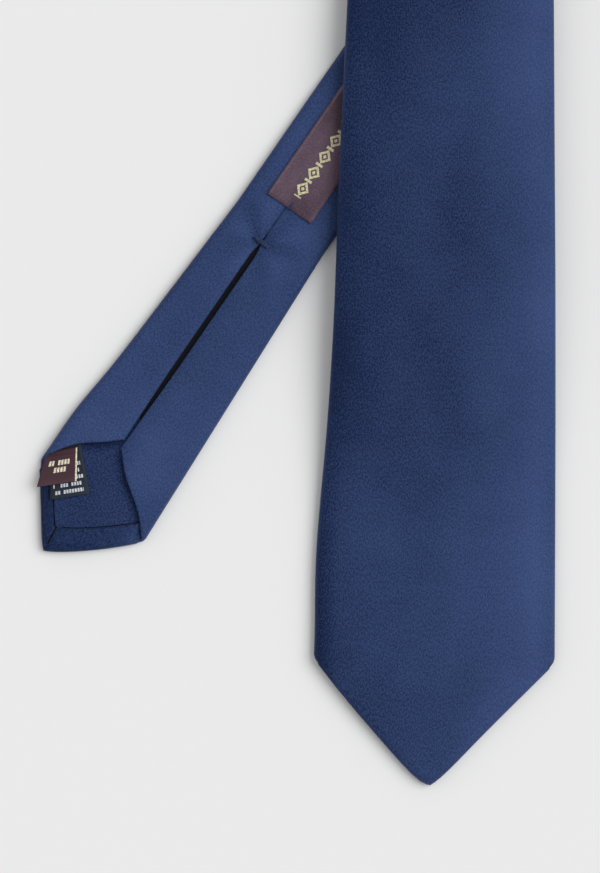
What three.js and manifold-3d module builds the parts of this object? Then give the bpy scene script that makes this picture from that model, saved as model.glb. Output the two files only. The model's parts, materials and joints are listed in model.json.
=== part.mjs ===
// A silk necktie laid flat and folded once at the neck. The wide blade lies face up on top; the narrow tail comes
// out from under it at an angle, with its back up. Millimetres, +Z up, the table at z = 0.
//
// Every piece is drawn on the band as if the tie were stretched out straight: x runs across, y along from the
// tail's tip (0) to the blade's tip (tieLength), and z from the front silk's face through the thickness to the
// back. layOut() then carries those points along the tail's curve, round the neck fold and onto the blade.
import * as THREE from "three";
import { mergeVertices } from "three/addons/utils/BufferGeometryUtils.js";
import Module from "manifold-3d";

const wasm = await Module();
wasm.setup();

// ---- Driving dimensions -------------------------------------------------------------------------------------

// The band's outline.
const tieLength = 1480;
const bladeWidth = 80;
const bladeUpperWidth = 0.85 * bladeWidth; // where the blade's taper steepens
const bladeUpperFromTip = 258;
const neckWidth = 33.4;
const neckFromTail = 132; // the narrow part begins this far from the tail's tip
const neckToTail = 700; // and ends here
const tailWidth = 43.4;

// Layers, from the front silk's face to the back.
const silk = 0.5;
const interlining = 1.2;
const tippingSheet = 0.4;
const gap = 0.3; // between pieces that touch on the real tie
const labelSheet = 0.3;

// Tips. flapStart is where a back flap's cut edge leaves the side, flapEnd where it meets the back seam.
const hemWidth = 8;
const bladeTip = { length: 41, width: bladeWidth, offset: 0, flapStart: [44, 44], flapEnd: [84, 84] };
const tailTip = { length: 22.3, width: tailWidth, offset: -4.6, flapStart: [27.5, 22.5], flapEnd: [45.4, 42.1] };

// Back seam, its hand stitching and its two bar tacks.
const seamOffset = -2.4;
const seamGap = 1.4;
const seamOpening = 3; // the widest place of the unsewn stretch below each bar tack
const threadRadius = 0.25;
const stitchLength = 10;
const barTackLength = 5.6;
const barTackRadius = 0.5;
const tailBarTack = 124.8; // from the tail's tip
const bladeBarTack = 112; // from the blade's tip

// The machine seams that join the three silk panels, at 45 degrees across the band.
const tailSeam = 392; // from the tail's tip
const bladeSeamClearance = 12; // between the neck fold and the nearest end of the blade's seam
const interliningJoinFromFold = 18;

// Labels and the keeper loop.
const makerLabel = { width: 17.5, length: 62, fromTail: 139 };
const originLabel = { near: [0.8, 10.8], far: [-4.6, 8.2], length: 10.4 };
const careLabel = { near: [-0.4, 11.4], far: [-0.8, 12.2], length: 15.4 };
const keeperLoop = { width: 12, length: 50, sheet: 0.8, slack: 0.6, fromBlade: 226, endLength: 5 };

// How it lies. Headings are clockwise from +Y, in degrees, seen from above.
const tailLeg = 723.7; // from the tail's tip to the neck fold
const bladeHeading = 1.26;
const tailHeading = 34.6;
const foldHeading = -20.8; // of the tail leg where it reaches the fold
const straightTail = 180; // the tail is straight this far from its tip
const straightAtFold = 40;
const foldRadius = 7.5; // of the front silk round the neck fold
const settleLength = 70; // the upper layer comes down over this length behind the fold
const crossingClearance = 3.2; // between the tail's back and the blade's, for the label and the keeper loop
const bladeRestsFromTip = 84; // the last stretch of the blade lies on the table
const drapeLength = 86;

// ---- Worked out from them -----------------------------------------------------------------------------------

const interliningBottom = silk + gap;
const tippingBottom = interliningBottom + interlining + gap;
const flapBottom = tippingBottom + tippingSheet + gap;
const thickness = flapBottom + silk;
const roll = thickness / 2; // radius of the rolled side edge
const hemTop = tippingBottom + silk;
const innerInset = roll; // the inner sheets stop where the rolled edge begins
const foldArc = Math.PI * foldRadius;
const bladeLeg = tieLength - tailLeg - foldArc;
const neckUnfolded = neckWidth - 2 * roll + Math.PI * roll; // from the front's middle to a flap's free edge
const bladeSeam = tailLeg + foldArc + neckUnfolded + bladeSeamClearance;
const interliningJoin = tailLeg + foldArc + interliningJoinFromFold;
const crossingTop = 2 * thickness + crossingClearance;

const radians = THREE.MathUtils.degToRad;
const lerp = THREE.MathUtils.lerp;
const smooth = (t) => THREE.MathUtils.smoothstep(t, 0, 1);

// ---- Laying the band out --------------------------------------------------------------------------------------

// Direction and right-hand side of a heading.
const ahead = (heading) => new THREE.Vector2(Math.sin(heading), Math.cos(heading));
const rightOf = (heading) => new THREE.Vector2(Math.cos(heading), -Math.sin(heading));

function headingAt(station) {
  const turn = (tailLeg - straightAtFold - station) / (tailLeg - straightAtFold - straightTail);
  return lerp(radians(foldHeading), radians(tailHeading), smooth(turn));
}

// The centre line in plan, with the neck fold opened out. Its origin is where the fold begins.
const planStep = 1;
const planPoints = [new THREE.Vector2()];
for (let station = tailLeg; station > -planStep; station -= planStep) {
  const back = ahead(headingAt(station - planStep / 2)).multiplyScalar(-planStep);
  planPoints.push(planPoints.at(-1).clone().add(back));
}

function centreAt(station) {
  if (station >= tailLeg) return ahead(radians(foldHeading)).multiplyScalar(station - tailLeg);
  const steps = Math.min((tailLeg - station) / planStep, planPoints.length - 1.001);
  const before = Math.floor(steps);
  return planPoints[before].clone().lerp(planPoints[before + 1], steps - before);
}

// The fold line lies across the heading halfway between the two legs.
const foldNormalHeading = radians((foldHeading + bladeHeading) / 2);
const foldNormal = ahead(foldNormalHeading);
const foldLine = rightOf(foldNormalHeading);
const skew = Math.cos(radians(bladeHeading) - foldNormalHeading);
const bladeReach = bladeLeg * skew; // the blade's tip, measured square to the fold line

// Height of the blade's face at a distance behind the fold: it settles from the fold onto the tail, and drapes
// from the tail onto the table.
function bladeFaceHeight(distance) {
  const onTail = lerp(2 * foldRadius, crossingTop, smooth(distance / settleLength));
  const drapeStart = bladeReach - (bladeRestsFromTip + drapeLength) * skew;
  return lerp(onTail, thickness, smooth((distance - drapeStart) / (drapeLength * skew)));
}

// Lines drawn square across the band turn parallel to the fold line near it, so the cloth folds cleanly.
const foldSkew = Math.tan(foldNormalHeading - radians(foldHeading));
const foldReach = 60;

function turnedStation(x, station) {
  const away = Math.max(tailLeg - station, station - tailLeg - foldArc, 0);
  return station - x * foldSkew * (1 - smooth(away / foldReach));
}

// A point of the band, moved to where the folded tie has it.
function laidPoint(x, squareStation, depth) {
  const station = turnedStation(x, squareStation);
  const flat = centreAt(station).add(rightOf(headingAt(station)).multiplyScalar(x));
  const along = flat.dot(foldNormal);
  const across = flat.dot(foldLine);
  let reach = along;
  let height = depth;
  if (along > foldArc) {
    reach = foldArc - along;
    height = bladeFaceHeight(along - foldArc) - depth;
  } else if (along > 0) {
    const angle = along / foldRadius;
    reach = (foldRadius - depth) * Math.sin(angle);
    height = foldRadius - (foldRadius - depth) * Math.cos(angle);
  }
  const plan = foldNormal.clone().multiplyScalar(reach).addScaledVector(foldLine, across);
  return new THREE.Vector3(plan.x, plan.y, height);
}

function layOut(geometry) {
  const points = geometry.getAttribute("position");
  for (let i = 0; i < points.count; i++) {
    const laid = laidPoint(points.getX(i), points.getY(i), points.getZ(i));
    points.setXYZ(i, laid.x, laid.y, laid.z);
  }
  for (const name of ["normal", "uv"]) geometry.deleteAttribute(name);
  geometry.clearGroups();
  const merged = mergeVertices(geometry, 1e-4);
  merged.computeVertexNormals();
  return merged;
}

// Turns a piece drawn from the blade's tip to where that tip is on the band.
const atBladeTip = (geometry) => geometry.rotateZ(Math.PI).translate(0, tieLength, 0);

// ---- Outlines of the band ------------------------------------------------------------------------------------

const widthStations = [
  [tailTip.length, tailWidth],
  [neckFromTail, neckWidth],
  [neckToTail, neckWidth],
  [tieLength - bladeUpperFromTip, bladeUpperWidth],
  [tieLength - bladeTip.length, bladeWidth],
];

function halfWidth(station) {
  const after = widthStations.findIndex(([at]) => at >= station);
  if (after === 0) return tailWidth / 2;
  if (after < 0) return bladeWidth / 2;
  const [[from, narrow], [to, wide]] = [widthStations[after - 1], widthStations[after]];
  return lerp(narrow, wide, (station - from) / (to - from)) / 2;
}

// The pointed end's edge, moved inwards by inset: its distance from the tip at x.
function tipEdge(tip, x, inset = 0) {
  const toSides = [-1, 1].map((side) => {
    const slope = tip.length / (tip.width / 2 - side * tip.offset);
    return side * (x - tip.offset) * slope + inset * Math.hypot(1, slope);
  });
  return Math.max(...toSides);
}

// Where that inset edge has its point.
function tipPoint(tip, inset = 0) {
  const [left, right] = [-1, 1].map((side) => tip.length / (tip.width / 2 - side * tip.offset));
  return tip.offset + (inset * (Math.hypot(1, left) - Math.hypot(1, right))) / (left + right);
}

// The gap between the back flaps: narrow where they are sewn, opening between a bar tack and the tip.
function gapAt(station) {
  const fromTail = (station - tailTip.flapEnd[0]) / (tailBarTack - tailTip.flapEnd[0]);
  const fromBlade = (tieLength - station - bladeTip.flapEnd[0]) / (bladeBarTack - bladeTip.flapEnd[0]);
  const t = Math.min(fromTail, fromBlade);
  return t < 1 ? lerp(seamGap, seamOpening, Math.sin(Math.PI * Math.max(t, 0.25))) : seamGap;
}

// ---- Sheets -----------------------------------------------------------------------------------------------------

// A closed sheet from a box whose grid corners are moved: column i, row j, and face k (0 outer, 1 inner).
function gridSheet(columns, rows, pointAt) {
  const box = new THREE.BoxGeometry(1, 1, 1, columns, rows, 1);
  const points = box.getAttribute("position");
  for (let n = 0; n < points.count; n++) {
    const i = Math.round((points.getX(n) + 0.5) * columns);
    const j = Math.round((points.getY(n) + 0.5) * rows);
    points.setXYZ(n, ...pointAt(i, j, points.getZ(n) > 0 ? 1 : 0));
  }
  return box;
}

const spread = (from, to, steps) => Array.from({ length: steps + 1 }, (_, i) => lerp(from, to, i / steps));

// Every sheet has its rows at the same stations: [to here, this many rows].
const foldEnd = tailLeg + foldArc;
const drapeEnd = tieLength - bladeRestsFromTip;
const rowSpans = [
  [straightTail, 7],
  [tailLeg - straightAtFold, 22],
  [tailLeg - 3, 2],
  [foldEnd + 3, 10],
  [foldEnd + settleLength, 7],
  [drapeEnd - drapeLength, 10],
  [drapeEnd, 8],
  [tieLength, 2],
];
const sharedRows = rowSpans.flatMap(([to, rows], i) => spread(i ? rowSpans[i - 1][0] : 0, to, rows).slice(1));

// The shared stations between two others, leaving out any that come too close to these.
function stationsBetween(from, to, least = 2) {
  return [from, ...sharedRows.filter((at) => at > from + least && at < to - least), to];
}

// Columns of the silk's folded section, from the left flap's free edge over the front to the right one.
// across() gives the outer face and its outward normal; unfolded is the distance from the front's centre line.
const rollAngles = [90, 45, 0, -45, -90].map(radians);

function sideColumns(side) {
  const flap = {
    side,
    across: (s) => ({ x: seamOffset + (side * gapAt(s)) / 2, z: thickness, nx: 0, nz: 1 }),
    unfolded: (s) => side * (2 * (halfWidth(s) - roll) + Math.PI * roll),
  };
  const rolled = rollAngles.map((angle) => ({
    side,
    angle,
    across: (s) => ({
      x: side * (halfWidth(s) - roll * (1 - Math.cos(angle))),
      z: roll * (1 + Math.sin(angle)),
      nx: side * Math.cos(angle),
      nz: Math.sin(angle),
    }),
    unfolded: (s) => side * (halfWidth(s) - roll + roll * (angle + Math.PI / 2)),
  }));
  return [flap, ...rolled];
}

function silkColumns(tip) {
  const middle = {
    side: 0,
    across: (s) => ({ x: tip ? tip.offset * (1 - smooth(s / tailBarTack)) : 0, z: 0, nx: 0, nz: -1 }),
    unfolded: () => 0,
  };
  return [...sideColumns(-1), middle, ...sideColumns(1).reverse()];
}

// Distance from the tip at which a column of the silk begins. The flap's cut edge runs on from the side.
function tipCut(tip, column) {
  const { side, angle } = column;
  if (side === 0) return 0;
  const index = side < 0 ? 0 : 1;
  if (angle === undefined) return tip.flapEnd[index];
  if (angle > 0) return lerp(tip.length, tip.flapStart[index], Math.sin(angle));
  return tipEdge(tip, side * (tip.width / 2 - roll * (1 - Math.cos(angle))));
}

const seamCut = (seam, column) => seam + column.unfolded(seam);

// One silk panel: columns folded round the band, each from its own start to its own end.
function silkPanel(columns, startOf, endOf, leadRows = 4) {
  const starts = columns.map(startOf);
  const ends = columns.map(endOf);
  const body = stationsBetween(Math.max(...starts) + 4, Math.min(...ends) - 4);
  const rowsOf = starts.map((start, i) => [
    ...spread(start, body[0], leadRows).slice(0, -1),
    ...body,
    ...spread(body.at(-1), ends[i], leadRows).slice(1),
  ]);
  return gridSheet(columns.length - 1, rowsOf[0].length - 1, (i, j, k) => {
    const station = rowsOf[i][j];
    const { x, z, nx, nz } = columns[i].across(station);
    return [x - k * silk * nx, station, z - k * silk * nz];
  });
}

// A flat sheet inside the band, with a pointed or a square end at each side.
function flatSheet({ bottom, height, inset, startOf, endOf }) {
  const xAt = [(s) => inset - halfWidth(s), () => 0, (s) => halfWidth(s) - inset];
  const middle = stationsBetween(startOf.body, endOf.body);
  const rowsOf = [0, 1, 2].map((i) => [startOf.columns[i], ...middle, endOf.columns[i]]);
  return gridSheet(2, middle.length + 1, (i, j, k) => {
    const station = rowsOf[i][j];
    const x = i === 1 ? startOf.middle ?? 0 : xAt[i](station);
    return [x, station, bottom + k * height];
  });
}

const squareEnd = (station) => ({ body: station - 1, columns: [station, station, station] });
const squareStart = (station) => ({ body: station + 1, columns: [station, station, station] });

// ---- Joins ------------------------------------------------------------------------------------------------------

function toSolid(geometry) {
  const plain = geometry.index ? geometry.toNonIndexed() : geometry.clone();
  for (const name of ["normal", "uv"]) plain.deleteAttribute(name);
  const merged = mergeVertices(plain, 1e-4);
  const mesh = new wasm.Mesh({
    numProp: 3,
    vertProperties: new Float32Array(merged.getAttribute("position").array),
    triVerts: new Uint32Array(merged.index.array),
  });
  return new wasm.Manifold(mesh);
}

function joined(...geometries) {
  const solid = geometries.map(toSolid).reduce((sum, next) => sum.add(next));
  const mesh = solid.getMesh();
  return new THREE.BufferGeometry()
    .setAttribute("position", new THREE.BufferAttribute(new Float32Array(mesh.vertProperties), 3))
    .setIndex(new THREE.BufferAttribute(mesh.triVerts, 1));
}

// A V along both edges of a tip, between two insets from its edge.
function tipBand(tip, from, to, bottom, height, end = tip.width / 2 - roll / 2) {
  const corner = (inset) => (x) => new THREE.Vector2(x, tipEdge(tip, x, inset));
  const outer = [-end, tipPoint(tip, from), end].map(corner(from));
  const inner = [end, tipPoint(tip, to), -end].map(corner(to));
  const extrude = { depth: height, bevelEnabled: false };
  return new THREE.ExtrudeGeometry(new THREE.Shape([...outer, ...inner]), extrude).translate(0, 0, bottom);
}

// The silk turned in round a tip, and the edge it turns over.
function tipHem(tip) {
  const turnedIn = tipBand(tip, 0, hemWidth, tippingBottom, silk);
  const edge = tipBand(tip, 0, silk, 0, hemTop);
  return [turnedIn, edge];
}

// The thread that joins the lining to the hem lies in the groove between them.
const tippingThread = 0.3;

function tippingSeam(tip) {
  const from = hemWidth + gap;
  const end = tip.width / 2 - innerInset - 2 * gap;
  return tipBand(tip, from, from + tippingThread, tippingBottom, tippingThread, end);
}

// ---- Silk panels ------------------------------------------------------------------------------------------------

function tailPanel() {
  const columns = silkColumns(tailTip);
  const cut = (column) => tipCut(tailTip, column);
  const seam = (column) => seamCut(tailSeam - gap / 2, column);
  return joined(silkPanel(columns, cut, seam), ...tipHem(tailTip));
}

function neckPanel() {
  const from = (column) => seamCut(tailSeam + gap / 2, column);
  const to = (column) => seamCut(bladeSeam - gap / 2, column);
  return silkPanel(silkColumns(), from, to);
}

function bladePanel() {
  const from = (column) => seamCut(bladeSeam + gap / 2, column);
  const cut = (column) => tieLength - tipCut(bladeTip, column);
  return joined(silkPanel(silkColumns(), from, cut), ...tipHem(bladeTip).map(atBladeTip));
}

// ---- Interlining and tipping --------------------------------------------------------------------------------------


// The three corners of a pointed end, inset from the tip's edges.
function pointedEnd(tip, inset) {
  const side = tip.width / 2 - innerInset;
  return [-side, tipPoint(tip, inset), side].map((x) => tipEdge(tip, x, inset));
}

const liningInset = silk + gap;

function tailInterlining() {
  const columns = pointedEnd(tailTip, liningInset);
  const startOf = { body: Math.max(...columns) + 4, columns, middle: tipPoint(tailTip, liningInset) };
  const endOf = squareEnd(interliningJoin - gap / 2);
  return flatSheet({ bottom: interliningBottom, height: interlining, inset: innerInset, startOf, endOf });
}

function bladeInterlining() {
  const columns = pointedEnd(bladeTip, liningInset).map((y) => tieLength - y);
  const endOf = { body: Math.min(...columns) - 4, columns };
  const startOf = squareStart(interliningJoin + gap / 2);
  return flatSheet({ bottom: interliningBottom, height: interlining, inset: innerInset, startOf, endOf });
}

// The lining at a tip: from the hem to a square cut under the flaps.
function tipping(tip, underFlaps = 12) {
  const inset = hemWidth + 2 * gap + tippingThread;
  const side = tip.width / 2 - innerInset - 2 * gap;
  const xs = [-side, tipPoint(tip, inset), side];
  const far = Math.max(...tip.flapEnd) + underFlaps;
  const middle = [...pointsFrom(tip, inset, far)];
  return gridSheet(2, middle.length, (i, j, k) => {
    const y = j === 0 ? tipEdge(tip, xs[i], inset) : middle[j - 1];
    const narrowing = i === 1 ? xs[1] : Math.sign(xs[i]) * Math.min(side, sideRoom(tip, y));
    return [narrowing, y, tippingBottom + k * tippingSheet];
  });
}

// How far the sheet may reach sideways at a distance from the tip, following the band's taper.
const sideRoom = (tip, y) => halfWidth(tip === tailTip ? y : tieLength - y) - innerInset - 2 * gap;
const pointsFrom = (tip, inset, far) => spread(tipEdge(tip, tip.width / 2, inset) + 2, far, 3);

// ---- Threads and tacks ----------------------------------------------------------------------------------------------

const threadSection = (radius, sides) => {
  const corner = (i) => new THREE.Vector2(radius, 0).rotateAround(new THREE.Vector2(), (i / sides) * 2 * Math.PI);
  return new THREE.Shape(Array.from({ length: sides }, (_, i) => corner(i)));
};

function thread(points, radius, steps, sides = 6) {
  const path = new THREE.CatmullRomCurve3(points);
  return new THREE.ExtrudeGeometry(threadSection(radius, sides), { steps, extrudePath: path });
}

// The hand-sewn slip stitch: one thread that dips between the flaps at each stitch.
function slipStitch(from, to) {
  const count = 2 * Math.round((to - from) / (2 * stitchLength));
  const depth = [flapBottom + silk - threadRadius, flapBottom - threadRadius];
  const points = spread(from, to, count).map((y, i) => new THREE.Vector3(seamOffset, y, depth[i % 2]));
  return thread(points, threadRadius, count, 5);
}

// A bar tack across the seam, on the back.
function barTack() {
  const bar = new THREE.CapsuleGeometry(barTackRadius, barTackLength - 2 * barTackRadius, 3, 8);
  return bar.rotateZ(Math.PI / 2).translate(0, 0, thickness + gap + barTackRadius);
}

// A tack over the end of the maker's label: up beside its edge and onto it.
const labelBottom = thickness + gap;
const labelTop = labelBottom + labelSheet;
const tackRadius = 0.2;

function labelEndTack(edge, inwards) {
  const clear = gap + tackRadius;
  const top = labelTop + clear;
  const outside = edge - inwards * clear;
  const points = [
    [outside, labelBottom + tackRadius],
    [outside, top - 0.1],
    [outside + inwards * 0.5, top],
    [edge + inwards * 2.6, top],
  ].map(([y, z]) => new THREE.Vector3(seamOffset, y, z));
  return thread(points, tackRadius, 8);
}

// ---- Labels and keeper loop --------------------------------------------------------------------------------------

function makerLabelSheet() {
  const { width, length, fromTail } = makerLabel;
  const sheet = new THREE.BoxGeometry(width, length, labelSheet);
  return sheet.translate(seamOffset, fromTail + length / 2, labelBottom + labelSheet / 2);
}

// The two small labels hang from under the left flap's cut edge. Their outlines are drawn along that edge (x)
// and away from it (y), and turned onto the tail.
const flapCorner = new THREE.Vector2(roll - tailWidth / 2, tailTip.flapStart[0]);
const flapPoint = new THREE.Vector2(seamOffset - gapAt(tailTip.flapEnd[0]) / 2, tailTip.flapEnd[0]);
const flapDirection = flapPoint.clone().sub(flapCorner).normalize();
const flapAngle = flapDirection.angle();
const labelClearance = 2 * gap;

function smallLabel({ near, far, length }, level) {
  const outline = [
    [near[0], -labelClearance],
    [far[0], -labelClearance - length],
    [far[1], -labelClearance - length],
    [near[1], -labelClearance],
  ].map(([x, y]) => new THREE.Vector2(x, y));
  const bottom = hemTop + gap + level * (labelSheet + gap);
  const extrude = { depth: labelSheet, bevelEnabled: false };
  return new THREE.ExtrudeGeometry(new THREE.Shape(outline), extrude)
    .rotateZ(flapAngle)
    .translate(flapCorner.x, flapCorner.y, bottom);
}

// A strap across the blade's back that the tail is tucked through. Its two ends lie on the flaps.
function keeperStrap() {
  const { width, length, sheet, slack, endLength } = keeperLoop;
  const half = length / 2;
  const xs = [-half, endLength - half, 2 * endLength - half, half - 2 * endLength, half - endLength, half];
  return gridSheet(xs.length - 1, 1, (i, j, k) => {
    const raised = i > 1 && i < 4 ? gap + slack : gap;
    return [xs[i], (j - 0.5) * width, thickness + raised + k * sheet];
  });
}

function keeperTack(side) {
  const { width, length, sheet, endLength } = keeperLoop;
  const bar = new THREE.CapsuleGeometry(tackRadius * 1.5, width * 0.6, 3, 6);
  const x = side * (length / 2 - endLength / 2);
  return bar.translate(x, 0, thickness + 2 * gap + sheet + tackRadius * 1.5);
}

const onBladeBack = (geometry, fromTip) => atBladeTip(geometry.translate(0, fromTip, 0));

// ---- Materials --------------------------------------------------------------------------------------------------

const silkSatin = new THREE.MeshStandardMaterial({ color: 0x2b3f70, roughness: 0.45, metalness: 0 });
const silkLining = new THREE.MeshStandardMaterial({ color: 0x2a3c69, roughness: 0.5, metalness: 0 });
const wool = new THREE.MeshStandardMaterial({ color: 0x20242f, roughness: 0.95, metalness: 0 });
const navyThread = new THREE.MeshStandardMaterial({ color: 0x24345c, roughness: 0.6, metalness: 0 });
const maroonSatin = new THREE.MeshStandardMaterial({ color: 0x3d2a36, roughness: 0.5, metalness: 0 });
const brownTaffeta = new THREE.MeshStandardMaterial({ color: 0x4a2f38, roughness: 0.65, metalness: 0 });
const blackTaffeta = new THREE.MeshStandardMaterial({ color: 0x1d2330, roughness: 0.7, metalness: 0 });

// ---- Assembly -----------------------------------------------------------------------------------------------------

const necktie = new THREE.Group();

function addPiece(name, material, geometry) {
  const mesh = new THREE.Mesh(layOut(geometry), material.clone());
  mesh.name = name;
  necktie.add(mesh);
}

addPiece("tail_silk", silkSatin, tailPanel());
addPiece("neck_silk", silkSatin, neckPanel());
addPiece("blade_silk", silkSatin, bladePanel());
addPiece("tail_interlining", wool, tailInterlining());
addPiece("blade_interlining", wool, bladeInterlining());
addPiece("tail_tipping", silkLining, tipping(tailTip));
addPiece("blade_tipping", silkLining, atBladeTip(tipping(bladeTip)));

const stitchMargin = 3;
const foldMargin = 20;
addPiece("tail_tipping_seam", navyThread, tippingSeam(tailTip));
addPiece("blade_tipping_seam", navyThread, atBladeTip(tippingSeam(bladeTip)));
addPiece("tail_slip_stitch", navyThread, slipStitch(tailBarTack + stitchMargin, tailLeg - foldMargin));
const bladeStitchEnd = tieLength - bladeBarTack - stitchMargin;
const bladeStitchStart = bladeSeam + 2 * halfWidth(bladeSeam) + foldMargin;
addPiece("blade_slip_stitch", navyThread, slipStitch(bladeStitchStart, bladeStitchEnd));
addPiece("tail_bar_tack", navyThread, barTack().translate(seamOffset, tailBarTack, 0));
addPiece("blade_bar_tack", navyThread, onBladeBack(barTack().translate(-seamOffset, 0, 0), bladeBarTack));

addPiece("maker_label", maroonSatin, makerLabelSheet());
const labelEnds = { lower: makerLabel.fromTail, upper: makerLabel.fromTail + makerLabel.length };
addPiece("maker_label_lower_tack", navyThread, labelEndTack(labelEnds.lower, 1));
addPiece("maker_label_upper_tack", navyThread, labelEndTack(labelEnds.upper, -1));
addPiece("care_label", blackTaffeta, smallLabel(careLabel, 0));
addPiece("origin_label", brownTaffeta, smallLabel(originLabel, 1));

addPiece("keeper_loop", silkSatin, onBladeBack(keeperStrap(), keeperLoop.fromBlade));
addPiece("keeper_loop_left_tack", navyThread, onBladeBack(keeperTack(-1), keeperLoop.fromBlade));
addPiece("keeper_loop_right_tack", navyThread, onBladeBack(keeperTack(1), keeperLoop.fromBlade));

// The origin is the middle of the footprint, on the table.
const footprint = new THREE.Box3().setFromObject(necktie);
const middle = footprint.getCenter(new THREE.Vector3());
necktie.position.set(-middle.x, -middle.y, -footprint.min.z);

export default necktie;
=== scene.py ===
# %% [markdown]
# # A navy silk necktie, laid flat and folded once
#
# A necktie is one long band of silk cut on the bias. Its sides are folded over a wool interlining and
# meet in a slip-stitched seam down the back. Here the tie lies on a table and is folded once at the neck:
# the wide blade lies face up on top, and the narrow tail comes out from under it with its back up, so
# that its labels show.
#
# Every sheet is first drawn on the band as if the tie were stretched out straight: `x` across, `station`
# along from the tail's tip, and `depth` from the front silk through to the back. One function then
# carries those points along the tail's curve, round the neck fold and onto the blade. Because each sheet
# remembers where it was on the flat cloth, its weave can follow the cloth's own grain.

# %% The frame and the CAD parts
import json
import math

import bmesh
import bpy
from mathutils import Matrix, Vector, noise


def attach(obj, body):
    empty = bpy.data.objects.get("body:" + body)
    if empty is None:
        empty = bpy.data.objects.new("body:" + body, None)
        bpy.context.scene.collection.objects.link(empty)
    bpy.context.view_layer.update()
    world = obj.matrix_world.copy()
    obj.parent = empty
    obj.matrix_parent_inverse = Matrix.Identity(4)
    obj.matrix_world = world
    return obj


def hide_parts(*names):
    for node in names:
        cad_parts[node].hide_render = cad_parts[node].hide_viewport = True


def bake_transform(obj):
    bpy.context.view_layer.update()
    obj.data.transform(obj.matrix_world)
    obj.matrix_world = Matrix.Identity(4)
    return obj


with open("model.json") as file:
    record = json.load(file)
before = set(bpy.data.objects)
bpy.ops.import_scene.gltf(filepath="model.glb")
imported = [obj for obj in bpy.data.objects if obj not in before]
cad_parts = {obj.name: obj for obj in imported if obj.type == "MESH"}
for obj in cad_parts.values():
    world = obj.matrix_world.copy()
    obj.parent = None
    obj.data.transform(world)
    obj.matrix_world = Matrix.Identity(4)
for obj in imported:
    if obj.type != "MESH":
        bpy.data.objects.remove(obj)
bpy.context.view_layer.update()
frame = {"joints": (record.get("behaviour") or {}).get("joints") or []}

mm = 0.001

# %% [markdown]
# ## The band and how it lies
#
# The sizes are the pattern's own. The place of the neck fold comes from the frame: the fold's hinge lies
# one fold radius out from where the silk starts to turn.

# %% Sizes of the band
tie_length = 1480 * mm
blade_width = 80 * mm
blade_upper_width = 0.85 * blade_width
blade_upper_from_tip = 258 * mm
neck_width = 33.4 * mm
neck_from_tail = 132 * mm
neck_to_tail = 700 * mm
tail_width = 43.4 * mm
thickness = 3.5 * mm
roll = thickness / 2
silk = 0.3 * mm

tail_leg = 723.7 * mm
straight_tail = 180 * mm
straight_at_fold = 40 * mm
blade_heading = math.radians(1.26)
tail_heading = math.radians(34.6)
fold_heading = math.radians(-20.8)
fold_radius = 7.5 * mm
settle_length = 70 * mm
crossing_top = 2 * thickness + 3.2 * mm
blade_rests_from_tip = 84 * mm
drape_length = 86 * mm

fold_arc = math.pi * fold_radius
fold_end = tail_leg + fold_arc
blade_leg = tie_length - fold_end
fold_normal_heading = (fold_heading + blade_heading) / 2


def lerp(a, b, t):
    return a + (b - a) * t


def smooth(t):
    t = min(max(t, 0), 1)
    return t * t * (3 - 2 * t)


def ahead(heading):
    return Vector((math.sin(heading), math.cos(heading)))


def right_of(heading):
    return Vector((math.cos(heading), -math.sin(heading)))


def joint_named(name):
    return next(joint for joint in frame["joints"] if joint["name"] == name)


fold_normal = ahead(fold_normal_heading)
fold_line = right_of(fold_normal_heading)
neck_hinge = joint_named("neck_fold")
fold_point = Vector(neck_hinge["pos_m"][:2]) - fold_normal * fold_radius
print("the silk starts to fold at, mm:", [round(value / mm, 1) for value in fold_point])

# %% [markdown]
# ## The centre line
#
# The tail isn't straight on the table. It leaves the neck fold at one heading, turns through a soft curve
# and then runs straight to its tip. The line is walked back from the fold in small equal steps, so that a
# station is always a true length of cloth along the middle of the band. A Bezier curve would look the
# same, but its length would have to be measured afterwards.

# %% The centre line in plan
plan_step = 1 * mm
past_the_tip = 20 * mm


def heading_at(station):
    turn = (tail_leg - straight_at_fold - station) / (tail_leg - straight_at_fold - straight_tail)
    return lerp(fold_heading, tail_heading, smooth(turn))


centre_points = [Vector((0, 0))]
while len(centre_points) * plan_step < tail_leg + past_the_tip:
    middle_of_step = tail_leg - (len(centre_points) - 0.5) * plan_step
    centre_points.append(centre_points[-1] - ahead(heading_at(middle_of_step)) * plan_step)


def centre_at(station):
    if station >= tail_leg:
        return ahead(fold_heading) * (station - tail_leg)
    steps = (tail_leg - station) / plan_step
    before = min(int(steps), len(centre_points) - 2)
    return centre_points[before].lerp(centre_points[before + 1], steps - before)


print("the tail's tip, from the fold, mm:", [round(value / mm, 1) for value in centre_at(0)])

# %% [markdown]
# ## The outline
#
# The pattern's width is given at a few stations and runs straight between them. Sides folded by hand are
# never quite straight, so the left one wanders by up to a millimetre, and the blade bows a little
# sideways.

# %% The outline
width_stations = [
    (22.3 * mm, tail_width),
    (neck_from_tail, neck_width),
    (neck_to_tail, neck_width),
    (tie_length - blade_upper_from_tip, blade_upper_width),
    (tie_length - 41 * mm, blade_width),
]


def half_width(station):
    if station <= width_stations[0][0]:
        return tail_width / 2
    for (start, narrow), (end, wide) in zip(width_stations, width_stations[1:]):
        if station <= end:
            return lerp(narrow, wide, (station - start) / (end - start)) / 2
    return blade_width / 2


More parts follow.
